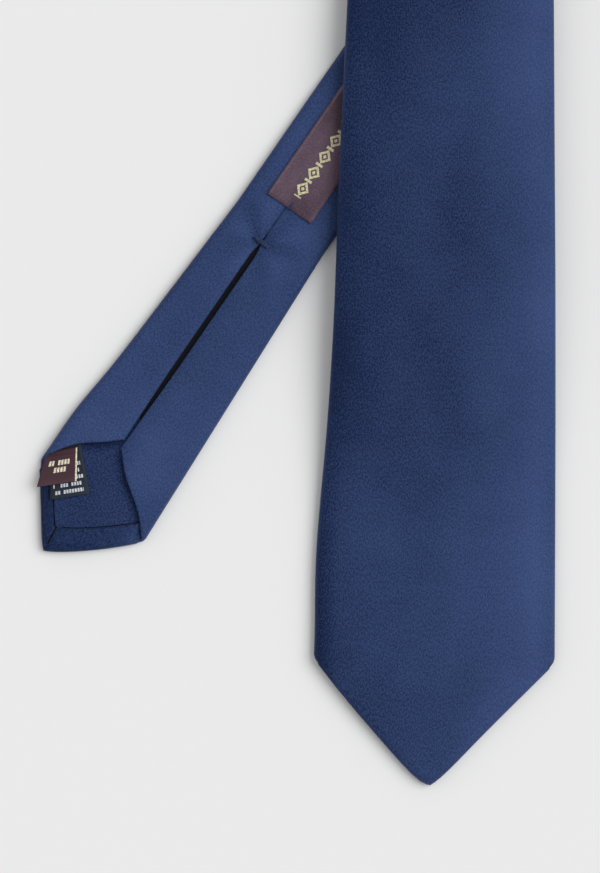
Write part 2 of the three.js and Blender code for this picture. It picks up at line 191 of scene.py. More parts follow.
def side_reach(station, side):
    """The distance to one rolled side. The left one wanders a little from the straight pattern."""
    from_tip = tie_length - station
    wander = 0
    if side < 0:
        at_labels = math.exp(-(((station - 44 * mm) / (15 * mm)) ** 2))
        above_tip = math.exp(-(((from_tip - 78 * mm) / (26 * mm)) ** 2))
        drawn_in = math.exp(-(((from_tip - 150 * mm) / (40 * mm)) ** 2))
        near_corner = math.exp(-(((from_tip - 44 * mm) / (18 * mm)) ** 2))
        wander = (1.0 * at_labels + 0.9 * above_tip - 0.7 * drawn_in - 0.5 * near_corner) * mm
    return half_width(station) + wander


def blade_sway(station):
    """The blade bows very slightly sideways between the crossing and its tip."""
    from_tip = tie_length - station
    return 0.9 * mm * smooth((station - fold_end) / (120 * mm)) * smooth(from_tip / (130 * mm))


print("widths, mm:", [round(width / mm, 1) for _, width in width_stations])

# %% [markdown]
# ## From the flat band to the folded tie
#
# Real silk is never quite flat. The interlining gives both faces a low crown, the hand sewing draws the
# back in along the seam and puckers it round the bar tack, and the blade keeps long soft waves that catch
# the light. These are small changes of height, so they belong in the one function that lays every sheet
# out: whatever lies on the silk then follows it.

# %% Soft shape
seam_offset = -2.4 * mm
tail_tack_at = 124.8 * mm
blade_tack_at = tie_length - 112 * mm
tack_length = 5.6 * mm
blade_reach = blade_leg * math.cos(blade_heading - fold_normal_heading)
fold_skew = math.tan(fold_normal_heading - fold_heading)
fold_turn_reach = 60 * mm
pucker_reach = 25 * mm
tail_crown = 0.5 * mm
blade_crown = 0.8 * mm
valley_depth = 0.45 * mm
valley_reach = 2.6 * mm
tip_sinks = 0.9 * mm
tip_sinks_over = 42 * mm


def blade_share(station):
    return smooth((station - fold_end - 15 * mm) / (50 * mm))


def pucker(x, station):
    """How far the cloth of the back is drawn in round the bar tacks."""
    drawn = 0
    for tack in (tail_tack_at, blade_tack_at):
        reach = math.hypot(x - seam_offset, (station - tack) * 0.8)
        if reach < pucker_reach:
            bearing = math.atan2(station - tack, x - seam_offset)
            pull = 0.6 + 0.25 * math.cos(2 * bearing) + 0.3 * math.cos(4 * bearing + 0.5)
            near = pull * math.exp(-((reach / (5 * mm)) ** 2))
            far = 0.34 * math.cos(5 * bearing - 0.6) * math.exp(-(((reach - 9 * mm) / (5.5 * mm)) ** 2))
            drawn += (near + far) * mm
    return drawn


def soft_depth(x, station, depth):
    """The depth of a point once the layers swell between the sides and the seam draws the back in."""
    swell = max(0, 1 - (x / half_width(station)) ** 2)
    on_blade = blade_share(station)
    towards_back = depth / thickness
    on_back = min(max(0, towards_back), 1) ** 3
    at_fold = smooth(abs(station - (tail_leg + fold_end) / 2) / (40 * mm))
    depth += swell * towards_back * (1 - on_blade) * tail_crown * at_fold
    depth -= swell * (1 - towards_back) * on_blade * blade_crown
    seam_valley = math.exp(-(((x - seam_offset) / valley_reach) ** 2))
    depth -= (seam_valley * valley_depth + pucker(x, station)) * on_back
    return depth


def wave_height(x, station):
    """Long soft waves of the band, in metres, never below zero."""
    long_wave = noise.noise(Vector((x / 0.060, station / 0.085, 2.7)))
    short_wave = noise.noise(Vector((x / 0.022, station / 0.034, 9.1)))
    return max(0, 0.5 + long_wave * 0.8 + short_wave * 0.22) * mm


def blade_face_height(distance):
    on_tail = lerp(2 * fold_radius, crossing_top, smooth(distance / settle_length))
    drape_start = blade_reach - blade_rests_from_tip - drape_length
    height = lerp(on_tail, thickness, smooth((distance - drape_start) / drape_length))
    return height - tip_sinks * smooth((distance - blade_reach + tip_sinks_over) / tip_sinks_over)


def laid(x, station, depth):
    """A point of the band, moved to where the folded tie has it."""
    depth = soft_depth(x, station, depth)
    away = max(tail_leg - station, station - fold_end, 0)
    turned = station - x * fold_skew * (1 - smooth(away / fold_turn_reach))
    flat = centre_at(turned) + right_of(heading_at(turned)) * x
    along, across = flat.dot(fold_normal), flat.dot(fold_line) + blade_sway(station)
    wave = wave_height(x, station)
    if along > fold_arc:
        reach = fold_arc - along
        wave *= smooth(-reach / (90 * mm))
        height = blade_face_height(-reach) - depth + wave
    elif along > 0:
        angle = along / fold_radius
        reach = (fold_radius - depth) * math.sin(angle)
        height = fold_radius - (fold_radius - depth) * math.cos(angle)
    else:
        reach = along
        height = depth + wave * 0.5 * smooth(-along / (60 * mm)) * max(0, depth / thickness)
    plan = fold_point + fold_normal * reach + fold_line * across
    return Vector((plan.x, plan.y, height))


print("the blade's tip lies at, mm:", [round(value / mm, 1) for value in laid(0, tie_length, 0)])

# %% [markdown]
# ## Cloth from a grid
#
# Blender's grid operator gives the threads of a sheet: its columns run along the band and its rows
# across. Each corner of the grid is moved to its place, and the same corner's place on the flat pattern
# becomes its UV, in metres. A weave of 0.3 mm is then 0.3 mm everywhere, and it turns with the cloth.
# Solidify gives the sheet its thickness, away from the face that shows.

# %% A sheet of cloth
def finish_mesh(bm, name):
    mesh = bpy.data.meshes.new(name)
    for face in bm.faces:
        face.smooth = True
    bm.to_mesh(mesh)
    bm.free()
    piece = bpy.data.objects.new(name, mesh)
    bpy.context.scene.collection.objects.link(piece)
    return piece


def settle(piece):
    """Make what the modifiers give the piece's own mesh."""
    graph = bpy.context.evaluated_depsgraph_get()
    settled = bpy.data.meshes.new_from_object(piece.evaluated_get(graph))
    piece.modifiers.clear()
    piece.data = settled
    return piece


def cloth(name, columns, rows, place, sheet, flip=False):
    """A grid of cloth. place(i, j) gives a corner's position, place on the pattern, how much its fold is
    lightened, partly as rubbing and partly as a painted highlight, and its painted light and shade.
    """
    bm = bmesh.new()
    bmesh.ops.create_grid(bm, x_segments=columns, y_segments=rows, size=1)
    worn_and_lit = bm.verts.layers.float.new("fold_wear_and_light")
    painted_light_layer = bm.verts.layers.float.new("painted_light")
    on_pattern = {}
    for vertex in bm.verts:
        i = round((vertex.co.x + 1) / 2 * columns)
        j = round((vertex.co.y + 1) / 2 * rows)
        vertex.co, on_pattern[vertex], vertex[worn_and_lit], vertex[painted_light_layer] = place(i, j)
    uv = bm.loops.layers.uv.new("pattern_m")
    for face in bm.faces:
        for loop in face.loops:
            loop[uv].uv = on_pattern[loop.vert]
    if flip:
        bmesh.ops.reverse_faces(bm, faces=bm.faces[:])
    piece = finish_mesh(bm, name)
    thicken = piece.modifiers.new("sheet", "SOLIDIFY")
    thicken.thickness = sheet
    thicken.offset = -1
    return settle(piece)


def pattern_size(piece):
    """The width, length and area of a piece's flat pattern, in metres."""
    uv = piece.data.uv_layers["pattern_m"].data
    corners = [loop.uv for loop in uv]
    width = max(c.x for c in corners) - min(c.x for c in corners)
    length = max(c.y for c in corners) - min(c.y for c in corners)
    area = 0
    for polygon in piece.data.polygons:
        loops = [uv[index].uv for index in polygon.loop_indices]
        area += abs(sum(a.x * b.y - b.x * a.y for a, b in zip(loops, loops[1:] + loops[:1]))) / 2
    return width, length, area / 2


def declare_sheet(piece, with_pieces=()):
    width, length, area = pattern_size(piece)
    for added in with_pieces:
        length += pattern_size(added)[1]
        area += pattern_size(added)[2]
    print(f"{piece.name}: {width / mm:.0f} x {length / mm:.0f} mm, {len(piece.data.polygons)} faces")


# %% [markdown]
# ## Folded edges
#
# No raw edge shows on a good tie. At the tips, along the back seam and where two panels join, the silk
# turns under round a small radius. `edge_fold` follows the cloth round such an edge: given how much cloth
# there is before the edge, it says how far in from the edge the cloth lies and how far below the face.

# %% Cloth turned round an edge
def edge_fold(cloth_in, radius):
    quarter = radius * math.pi / 2
    if cloth_in > quarter:
        return radius + cloth_in - quarter, 0
    if cloth_in < -quarter:
        return radius - cloth_in - quarter, 2 * radius
    angle = cloth_in / radius
    return radius * (1 - math.cos(angle)), radius * (1 - math.sin(angle))


def turn_points(radius, under):
    """Lengths of cloth before an edge, from the far end of the turned-in part to the top of the roll."""
    quarter = radius * math.pi / 2
    return [-under, -under * 0.65, -under * 0.35, -quarter, -quarter / 2, 0, quarter / 2, quarter]


print("points of cloth round a 1 mm edge, mm:", [round(at / mm, 2) for at in turn_points(1 * mm, 5 * mm)])

# %% [markdown]
# ## The silk panels
#
# The silk's section is a flattened ring with an opening at the back: front, two rolled sides, and two
# flaps whose turned edges nearly meet. Its columns are listed once. At a tip each column starts where the
# pattern is cut: the front's at the point, the flaps' along the slanting cut that leaves the diamond
# window open. The silk of the front goes on past the point, turns in and becomes the hem.

# %% Columns of the section
free_edge_radius = 0.42 * mm
free_edge_under = 2.6 * mm
flap_steps = 9
roll_steps = 8
front_steps = 20


def section_columns():
    columns = []
    for side in (-1, 1):
        edge = [("edge", side, value) for value in turn_points(free_edge_radius, free_edge_under)]
        flap = [("flap", side, n / flap_steps) for n in range(1, flap_steps)]
        rolled = [("roll", side, math.pi / 2 - math.pi * n / roll_steps) for n in range(roll_steps + 1)]
        columns.append(edge + flap + rolled)
    shares = [2 * n / front_steps - 1 for n in range(1, front_steps)]
    front = [("front", 0, math.copysign(abs(share) ** 1.5, share)) for share in shares]
    return columns[0] + front + columns[1][::-1]


columns = section_columns()
print(len(columns), "columns in the silk's section")

# %% [markdown]
# ## The tips
#
# Each tip is drawn from its own point, back side up, and -1 and 1 stand for its left and right side.
# `corner` is how far the side's corner lies from the point, `offset` how far the point is off the middle,
# and `hem` the turned-in width. `bow` swells the whole edge and `nose` only its stretch near the point.
# `cut` has the four points of each flap's slanting edge, in millimetres, from the side to the seam. A
# hand-made tip is never symmetrical.

# %% The tips' patterns
hem_roll = 1.3 * mm
tail_tip = {
    "corner": {-1: 23.5 * mm, 1: 21 * mm},
    "bow": {-1: 0.3 * mm, 1: 1.2 * mm},
    "nose": {-1: 0.3 * mm, 1: 0.2 * mm},
    "width": tail_width,
    "offset": -3.9 * mm,
    "seam": seam_offset,
    "hem": {-1: 4.3 * mm, 1: 7.3 * mm},
    "cut": {-1: [(-19.95, 27.9), (-13.65, 36), (-8.25, 40.1), (-2.6, 45)],
            1: [(19.95, 22.3), (15.8, 27.1), (8.3, 32.7), (-2, 42)]},
}
blade_tip = {
    "corner": {-1: 41 * mm, 1: 41 * mm},
    "bow": {-1: 0.2 * mm, 1: 1.5 * mm},
    "nose": {-1: 0.6 * mm, 1: 1.2 * mm},
    "width": blade_width,
    "offset": 0,
    "seam": -seam_offset,
    "hem": {-1: 8 * mm, 1: 8 * mm},
    "cut": {-1: [(-38.2, 44), (-26, 55.5), (-13, 69.5), (1.6, 84)],
            1: [(38.2, 44), (26, 55.5), (13, 69.5), (3.2, 84)]},
}
sides = (-1, 1)


def even(inset):
    return {side: inset for side in sides}


def tip_slope(tip, side):
    return tip["corner"][side] / (tip["width"] / 2 - side * tip["offset"])


def tip_edge(tip, x, inset):
    """Distance from the tip to its edge at x, moved in by inset[side]. Each edge bows out a little."""
    found = []
    for side in sides:
        from_point = side * (x - tip["offset"])
        share = min(max(from_point / (tip["width"] / 2 - side * tip["offset"]), 0), 1)
        swollen = 4 * share * (1 - share) * tip["bow"][side]
        inwards = inset[side] - (swollen + 17.6 * share * (1 - share) ** 6 * tip["nose"][side])
        found.append(from_point * tip_slope(tip, side) + inwards * math.hypot(1, tip_slope(tip, side)))
    return max(found)


def mitre_lean(tip, inset):
    """How far sideways of the tip the two moved-in edges meet."""
    moved = {side: inset[side] * math.hypot(1, tip_slope(tip, side)) for side in sides}
    return (moved[-1] - moved[1]) / (tip_slope(tip, -1) + tip_slope(tip, 1))


def flap_cut(tip, side, x):
    """The flap's cut edge: the curve through its four points."""
    points = [(px * mm, py * mm) for px, py in tip["cut"][side]]
    low, high = sorted((points[0][0], points[-1][0]))
    x = min(max(x, low), high)
    total = 0
    for n, (px, py) in enumerate(points):
        others = [qx for m, (qx, _) in enumerate(points) if m != n]
        total += py * math.prod((x - qx) / (px - qx) for qx in others)
    return total


print("the tail's window runs up to, mm:", round(flap_cut(tail_tip, -1, tail_tip["seam"]) / mm, 1))

# %% [markdown]
# At a tip, a column of the front's silk starts at the hem's hidden inner edge, comes down to the tip's
# edge, rolls round it and goes up the face. A column of a flap starts under the flap's cut edge and turns
# over it. The rows between the two, on the rolled sides, are a blend of both.

# %% The turned-in rows of each column at a tip
def tip_x(tip, column):
    kind, side, value = column
    side_edge = tip["width"] / 2 - roll
    if kind == "front":
        return value * side_edge + tip["offset"] * (1 - abs(value))
    if kind == "roll":
        return side * (side_edge + roll * math.cos(value))
    return lerp(tip["seam"], side * side_edge, value if kind == "flap" else 0)


def hem_rows(tip, column):
    """The front's hem: its sunk inner edge, three rows across it, and the roll round the tip's edge."""
    share = abs(column[2])
    x = tip_x(tip, column)
    first = tip_edge(tip, x, even(0))
    mitre = 1.1 * mm * max(0, 1 - share / 0.02)
    rows = []
    for hem_share, sunk in ((1.02, 0.7 * mm), (0.96, 0), (0.6, 0), (0.4, 0)):
        inset = {side: tip["hem"][side] * hem_share for side in sides}
        lean = mitre_lean(tip, inset)
        at = tip_edge(tip, x + lean * (1 - share), inset)
        rows.append((at, 2 * hem_roll - sunk - mitre, 2 * first - at, lean))
    for cloth_in in turn_points(hem_roll, 0)[4:]:
        inset, drop = edge_fold(cloth_in, hem_roll)
        rows.append((tip_edge(tip, x, even(inset)), drop, first + cloth_in * 1.3, 0))
    return rows


def cut_rows(tip, side, x):
    """The flap's turned-under cut edge."""
    cut = flap_cut(tip, side, x)
    rows = []
    for cloth_in in turn_points(free_edge_radius, 4 * mm):
        inset, drop = edge_fold(cloth_in, free_edge_radius)
        rows.append((cut + inset * 1.3, drop, cut + cloth_in * 1.3, 0))
    return rows


def tip_rows(tip, column):
    """Distance from the tip, drop below the face, place on the pattern and lean; the hidden end first."""
    kind, side, value = column
    if kind == "front":
        return hem_rows(tip, column)
    if kind != "roll":
        return cut_rows(tip, side, tip_x(tip, column))
    up = max(0, math.sin(value))
    beside = ("front", 0, side * 1.0)
    reach = tip_x(tip, column) - tip_x(tip, beside)
    hem = [(at + side * reach * tip_slope(tip, side), drop, along, 0)
           for at, drop, along, _ in hem_rows(tip, beside)]
    flap = cut_rows(tip, side, side * (tip["width"] / 2 - roll))
    return [tuple(lerp(a, b, up) for a, b in zip(low, high)) for low, high in zip(hem, flap)]


def mirrored(column):
    kind, side, value = column
    return (kind, -side, -value if kind == "front" else value)


print(len(tip_rows(tail_tip, columns[0])), "turned-in rows in each column at a tip")

# %% [markdown]
# ## The silk's surface
#
# A point of the silk is found from its column and its station: how far across, how deep, which way is
# inwards, and where it was on the flat cloth. The flaps are sewn together along the seam and stand open
# between the bar tack and the window. Rows are set closer where the cloth bends or is worked. Two values are
# kept with each point for the material: how much a fold is lightened, partly as rubbing and partly as a
# painted highlight, and a painted light value that makes the satin lighter where highlights are painted and
# darker where shade is painted.

# %% The silk's surface
seam_radius = 0.3 * mm
left_flap_lift = 1.2 * mm
right_flap_lift = 0.8 * mm
window_top = 45 * mm
blade_window_top = 84 * mm
fold_step = 1.1 * mm
worked_step = 1.3 * mm
seen_step = 2.6 * mm
plain_step = 5 * mm


def gap_at(station):
    """Between the flaps' free edges: nearly closed where sewn, open from a bar tack to the window."""
    sewn, at_window, opened = 0.3 * mm, 0.8 * mm, 1.75 * mm
    from_tail = (station - window_top) / (tail_tack_at - window_top)
    from_blade = (tie_length - blade_window_top - station) / (tie_length - blade_window_top - blade_tack_at)
    t = min(from_tail, from_blade)
    return lerp(lerp(at_window, opened, smooth(t / 0.4)), sewn, smooth((t - 0.93) / 0.07))


def flap_lift(tip, side, station):
    """The flaps stand a little off the tail's lining, the left one more, over the two small labels."""
    if tip is not tail_tip:
        return 0
    lift = left_flap_lift if side < 0 else right_flap_lift
    return lift * math.exp(-(((station - 32 * mm) / (12 * mm)) ** 2))


def silk_point(column, station, tip, lean=0):
    """x, depth, inward direction and place across the pattern of a point of the section."""
    kind, side, value = column
    if kind == "front":
        side_edge = side_reach(station, math.copysign(1, value)) - roll
        offset = tip["offset"] * (1 - smooth(station / tail_tack_at)) if tip else 0
        x = value * side_edge + (offset + lean) * (1 - abs(value))
        return x, 0, (0, 1), x
    side_edge = side_reach(station, side) - roll
    over_roll = side_edge + math.pi * roll
    lift = flap_lift(tip, side, station)
    if kind == "roll":
        x = side * (side_edge + roll * math.cos(value))
        inwards = (-side * math.cos(value), -math.sin(value))
        depth = roll * (1 + math.sin(value)) + lift * 0.5 * max(0, math.sin(value))
        return x, depth, inwards, side * (side_edge + roll * (value + math.pi / 2))
    free = seam_offset + side * gap_at(station) / 2
    if kind == "flap":
        x = lerp(free + side * free_edge_radius, side * side_edge, value)
        lift *= smooth(value / 0.35) * (1 - 0.5 * value)
        return x, thickness + lift, (0, -1), side * (over_roll + side_edge) - x
    inset, drop = edge_fold(value, free_edge_radius)
    return free + side * inset, thickness - drop, (0, -1), side * (over_roll + side_edge - value) - free


def seam_rows(seam, column, towards):
    """The cloth turned in at a machine seam, which runs at 45 degrees across the flat pattern."""
    cut = seam + silk_point(column, seam, None)[3]
    rows = []
    for cloth_in in turn_points(seam_radius, 2.2 * mm):
        inset, drop = edge_fold(cloth_in, seam_radius)
        rows.append((cut + towards * inset * 1.4, drop, cut + towards * cloth_in * 1.4, 0))
    return rows


def body_stations(start, end):
    """Rows between two stations, closer where the cloth bends or is worked."""
    found = [start]
    while True:
        station = found[-1]
        step = plain_step
        if abs(station - (tail_leg + fold_end) / 2) < 20 * mm:
            step = fold_step
        elif abs(station - tail_tack_at) < 22 * mm or abs(station - blade_tack_at) < 20 * mm:
            step = worked_step
        elif station < 200 * mm or station > tie_length - 270 * mm:
            step = seen_step
        if station + 1.4 * step > end:
            return found + [end]
        found.append(station + step)


def edge_wear_and_light(column, drop, turned):
    """How much a point is lightened, partly as rubbing and partly as a painted highlight: most on the sides'
    rolls, the free edges and the tips' edges.
    """
    kind, _, value = column
    on_side = max(0, math.cos(value)) if kind == "roll" else 0
    on_free_edge = math.exp(-((value / (0.9 * mm)) ** 2)) if kind == "edge" else 0
    on_turn = math.exp(-(((drop - hem_roll * 0.7) / (0.8 * mm)) ** 2)) if turned else 0
    return max(on_side, on_free_edge, on_turn)


def painted_satin_light(column, x, station):
    """Painted satin light and shade, kept as a value for the colour: the flaps are painted light, the blade
    lighter to its right, at its right edge and near its tip and darker to its left, the right roll lighter
    and the left roll darker, the hem at the tail's tip darker, and painted shade lies in the puckers round
    the bar tacks.
    """
    kind, side, value = column
    if kind == "front":
        from_tip = tie_length - station
        lower = 0.38 * smooth((150 * mm - from_tip) / (90 * mm))
        lower += 0.08 * smooth((60 * mm - from_tip) / (50 * mm))
        upper = 0.15 * smooth((from_tip - 170 * mm) / (60 * mm))
        across = abs(value) ** 1.6 * (0.72 if value > 0 else -0.34) + 0.45 * smooth((value - 0.8) / 0.2)
        hem = 0.3 * smooth((60 * mm - station) / (20 * mm))
        return 0.40 + lower + upper + across - hem
    if kind == "roll":
        return lerp(0.62 + 0.5 * side, 1, smooth(value / math.pi + 0.5))
    return 1 - 0.45 * pucker(x, station) / mm


def silk_panel(name, starts, ends, tip=None):
    """starts and ends hold each column's turned-in rows, from the hidden end to the face."""
    first_rows = [rows[-1][0] for rows in starts]
    last_rows = [rows[-1][0] for rows in ends]
    body = body_stations(max(first_rows) + 2 * mm, min(last_rows) - 2 * mm)
    first_lead = math.ceil((body[0] - min(first_rows)) / (3 * mm))
    last_lead = math.ceil((max(last_rows) - body[-1]) / (3 * mm))
    hidden = len(starts[0])
    paths = []
    for start, end in zip(starts, ends):
        face = [lerp(start[-1][0], body[0], n / first_lead) for n in range(1, first_lead)] + body
        face += [lerp(body[-1], end[-1][0], n / last_lead) for n in range(1, last_lead)]
        paths.append(start + [(station, 0, station, 0) for station in face] + end[::-1])

    def place(i, j):
        station, drop, along, lean = paths[i][j]
        x, depth, inwards, across = silk_point(columns[i], station, tip, lean)
        # painted light: folded edges lightened, partly as rubbing and partly as a highlight, and the satin's
        # painted highlight and shade
        fold_wear_and_light = edge_wear_and_light(columns[i], drop, j < hidden or j >= len(paths[i]) - hidden)
        painted_light_value = painted_satin_light(columns[i], x, station)
        point = laid(x + inwards[0] * drop, station, depth + inwards[1] * drop)
        return point, (across, along), fold_wear_and_light, painted_light_value

    return cloth(name, len(columns) - 1, len(paths[0]) - 1, place, silk, flip=True)


print("rows along the whole band:", len(body_stations(0, tie_length)))

# %% [markdown]
# ## The three panels
#
# A tie is too long to cut from one width of silk, so the blade, the neck and the tail are cut apart and
# joined by machine. The seams run at 45 degrees across the band, which spreads their bulk. One function
# makes all three: only their ends differ, a tip or a seam.

# %% The three panels
tail_seam = 392 * mm
neck_unfolded = neck_width - 2 * roll + math.pi * roll
blade_seam = fold_end + neck_unfolded + 12 * mm
seam_gap = 0.1 * mm


def from_blade_tip(rows):
    return [(tie_length - at, drop, tie_length - along, -lean) for at, drop, along, lean in rows]


def panel_end(seam, towards):
    return [seam_rows(seam + towards * seam_gap, column, towards) for column in columns]


tail_silk = silk_panel("tail_silk_cloth", [tip_rows(tail_tip, column) for column in columns],
                       panel_end(tail_seam, -1), tail_tip)
neck_silk = silk_panel("neck_silk_cloth", panel_end(tail_seam, 1), panel_end(blade_seam, -1))
blade_silk = silk_panel("blade_silk_cloth", panel_end(blade_seam, 1),
                        [from_blade_tip(tip_rows(blade_tip, mirrored(column))) for column in columns])
for piece in (tail_silk, neck_silk, blade_silk):
    print(piece.name, len(piece.data.polygons), "faces")

# %% [markdown]
# ## Inside the tie
#
# The interlining is a soft brushed wool that gives the tie its body. It shows only as a dark strip where
# the back seam is left open below the bar tack. At each tip the window is lined with the same silk, cut
# separately and joined to the hem in a groove.

# %% Interlining
inner_side = roll + 0.2 * mm
interlining_join = fold_end + 18 * mm
wool_top = 2 * mm
wool_sheet = 1.2 * mm
join_gap = 0.1 * mm


def flat_sheet(name, depth, sheet, side_room, start, end, across=10, lead=6):
    """A sheet inside the band. start and end give its two ends' stations at a share across, -1 to 1."""
    shares = [2 * n / across - 1 for n in range(across + 1)]
    body = body_stations(max(map(start, shares)) + 3 * mm, min(map(end, shares)) - 3 * mm)
    paths = []
    for share in shares:
        lead_in = [lerp(start(share), body[0], n / lead) for n in range(lead)]
        lead_out = [lerp(body[-1], end(share), n / lead) for n in range(1, lead + 1)]
        paths.append(lead_in + body + lead_out)

    def place(i, j):
        station = paths[i][j]
        x = shares[i] * (side_reach(station, math.copysign(1, shares[i])) - side_room)
        return laid(x, station, depth), (x, station), 0, 0.5

    return cloth(name, across, len(paths[0]) - 1, place, sheet)


def wool_tip(tip, share):
    return tip_edge(tip, share * (tip["width"] / 2 - inner_side), even(1.6 * mm))


tail_wool = flat_sheet("tail_interlining_wool", wool_top, wool_sheet, inner_side,
                       lambda share: wool_tip(tail_tip, share), lambda share: interlining_join - join_gap)
blade_wool = flat_sheet("blade_interlining_wool", wool_top, wool_sheet, inner_side,
                        lambda share: interlining_join + join_gap,
                        lambda share: tie_length - wool_tip(blade_tip, -share))
print("interlining:", tail_wool.name, "and", blade_wool.name)

# %% [markdown]
# The tipping is a small piece of silk that lines the tip. Its lower edge is turned down into a groove beside
# the hem, where the seam is, and that turned edge is painted darker, as shade in the groove. It goes on a
# little way under the flaps, and a painted shadow darkens it near the flaps' cut edges.

# %% Tipping
lining_sheet = 0.25 * mm
lining_top = 2.5 * mm
lining_groove = 0.25 * mm
lining_turned = turn_points(lining_groove, 1.2 * mm)


def tipping(name, tip, is_tail):
    """The lining of a tip: its edge along the hem is turned down into the groove. Painted shade darkens that
    edge and the lining near the flaps' cut edges.
    """
    across, along, under_flaps = 30, 30, 9 * mm
    side_room = roll + 0.5 * mm
    far = max(point[1] for side in sides for point in tip["cut"][side]) * mm + under_flaps

    def place(i, j):
        share = 2 * i / across - 1
        inset, drop = edge_fold(lining_turned[min(j, len(lining_turned) - 1)], lining_groove)
        hem = {side: tip["hem"][side] + 0.3 * mm + inset for side in sides}
        lean = tip["offset"] + mitre_lean(tip, hem)
        x = share * (tip["width"] / 2 - side_room) + lean * (1 - abs(share))
        edge = tip_edge(tip, x, hem)
        at = lerp(edge, far, max(0, j - len(lining_turned) + 1) / along)
        station = at if is_tail else tie_length - at
        room = half_width(station) - side_room
        x = max(-room, min(room, x if is_tail else -x))
        drawn_x = x if is_tail else -x
        out_of_flap = flap_cut(tip, -1 if drawn_x < tip["seam"] else 1, drawn_x) - at
        # painted shadow of the flaps: darkest just under a cut edge, fading over about five millimetres into
        # the window
        painted_light_value = lerp(0.02, 0.58, smooth((out_of_flap + 1 * mm) / (5.5 * mm)))
        # the turned edge in the groove takes the fold colour, which in the lining is painted shade
        return laid(x, station, lining_top - drop), (x, at), 1 if drop > 0 else 0, painted_light_value

    return cloth(name, across, len(lining_turned) + along - 1, place, lining_sheet)


tail_lining = tipping("tail_tipping_cloth", tail_tip, True)
blade_lining = tipping("blade_tipping_cloth", blade_tip, False)
print("each tipping has", len(tail_lining.data.polygons), "faces")

# %% [markdown]
# ## Threads
#
# Sewing thread is the small detail that says how a tie was made. A curve with a round bevel is the direct
# way to a thread: it needs only the points it passes through. Each curve is turned into a mesh, so that
# it can ride with the cloth. The points are drawn on the flat band like everything else.

# %% A thread through points
stitch_thread = 0.15 * mm


def thread(name, paths, radius, ring=2):
    """One tube through each list of points."""
    curve = bpy.data.curves.new(name, "CURVE")
    curve.dimensions = "3D"
    curve.bevel_depth = radius
    curve.bevel_resolution = ring
    curve.use_fill_caps = True
    for points in paths:
        spline = curve.splines.new("POLY")
        spline.points.add(len(points) - 1)
        for knot, point in zip(spline.points, points):
            knot.co = (*point, 1)
    drawn = bpy.data.objects.new(name + "_curve", curve)
    bpy.context.scene.collection.objects.link(drawn)
    mesh = bpy.data.meshes.new_from_object(drawn.evaluated_get(bpy.context.evaluated_depsgraph_get()))
    bpy.data.objects.remove(drawn)
    mesh.shade_smooth()
    piece = bpy.data.objects.new(name, mesh)
    bpy.context.scene.collection.objects.link(piece)
    return piece


def spread(start, end, count):
    return [lerp(start, end, n / count) for n in range(count + 1)]


print("sewing thread, mm:", 2 * stitch_thread / mm)

# %% [markdown]
# The back is closed by one long thread, sewn by hand with a loose stitch, so that the tie can stretch and
# spring back. It is left out round the neck fold. The tippings are joined by machine, in short even
# stitches.

# %% The slip stitch and the tippings' seams
stitch_length = 10 * mm
slip_thread = 0.11 * mm


def slip_stitch(name, start, end):
    """One thread that rises between the flaps at each stitch and dips under the folded edges between."""
    count = round((end - start) / (stitch_length / 4))
    dips = [0, 0.2, 0.55, 0.2]
    points = [laid(seam_offset + 0.03 * mm * (-1) ** n, station, thickness - (0.2 + dips[n % 4]) * mm)
              for n, station in enumerate(spread(start, end, count))]
    return thread(name, [points], slip_thread, ring=1)


tail_slip = slip_stitch("tail_slip_thread", tail_tack_at + 3 * mm, tail_leg - 20 * mm)
blade_slip = slip_stitch("blade_slip_thread", blade_seam + 2 * half_width(blade_seam) + 20 * mm,
                         blade_tack_at - 3 * mm)


def tipping_stitches(name, tip, is_tail):
    """Short machine stitches in the groove between the hem and the lining."""
    hem = {side: tip["hem"][side] + 0.15 * mm for side in sides}
    lean = tip["offset"] + mitre_lean(tip, hem)
    corners = [-tip["width"] / 2 + roll + 1 * mm, lean, tip["width"] / 2 - roll - 1 * mm]
    stitch, skip = 1.8 * mm, 0.5 * mm
    paths = []
    for start_x, end_x in zip(corners, corners[1:]):
        start = Vector((start_x, tip_edge(tip, start_x, hem)))
        end = Vector((end_x, tip_edge(tip, end_x, hem)))
        count = int((end - start).length / (stitch + skip))
        for n in range(count):
            ends = [start.lerp(end, (n + share) / count) for share in spread(0.1, 0.9, 4)]
            sag = [0.35 * mm, 0, 0, 0, 0.35 * mm]
            paths.append([laid(p.x if is_tail else -p.x, p.y if is_tail else tie_length - p.y,
                               lining_top - lining_groove - low) for p, low in zip(ends, sag)])
    return thread(name, paths, stitch_thread, ring=1)


tail_tipping_stitches = tipping_stitches("tail_tipping_stitches", tail_tip, True)
blade_tipping_stitches = tipping_stitches("blade_tipping_stitches", blade_tip, False)
print("slip stitches:", tail_slip.name, "and", blade_slip.name)

# %% [markdown]
# A bar tack is sewn by hand: a few long strands across the seam, then the same thread wound closely round
# them. The winding is a helix, drawn from its own turning angle, and its two ends sink into the cloth.

# %% Bar tacks
tack_thread = 0.16 * mm


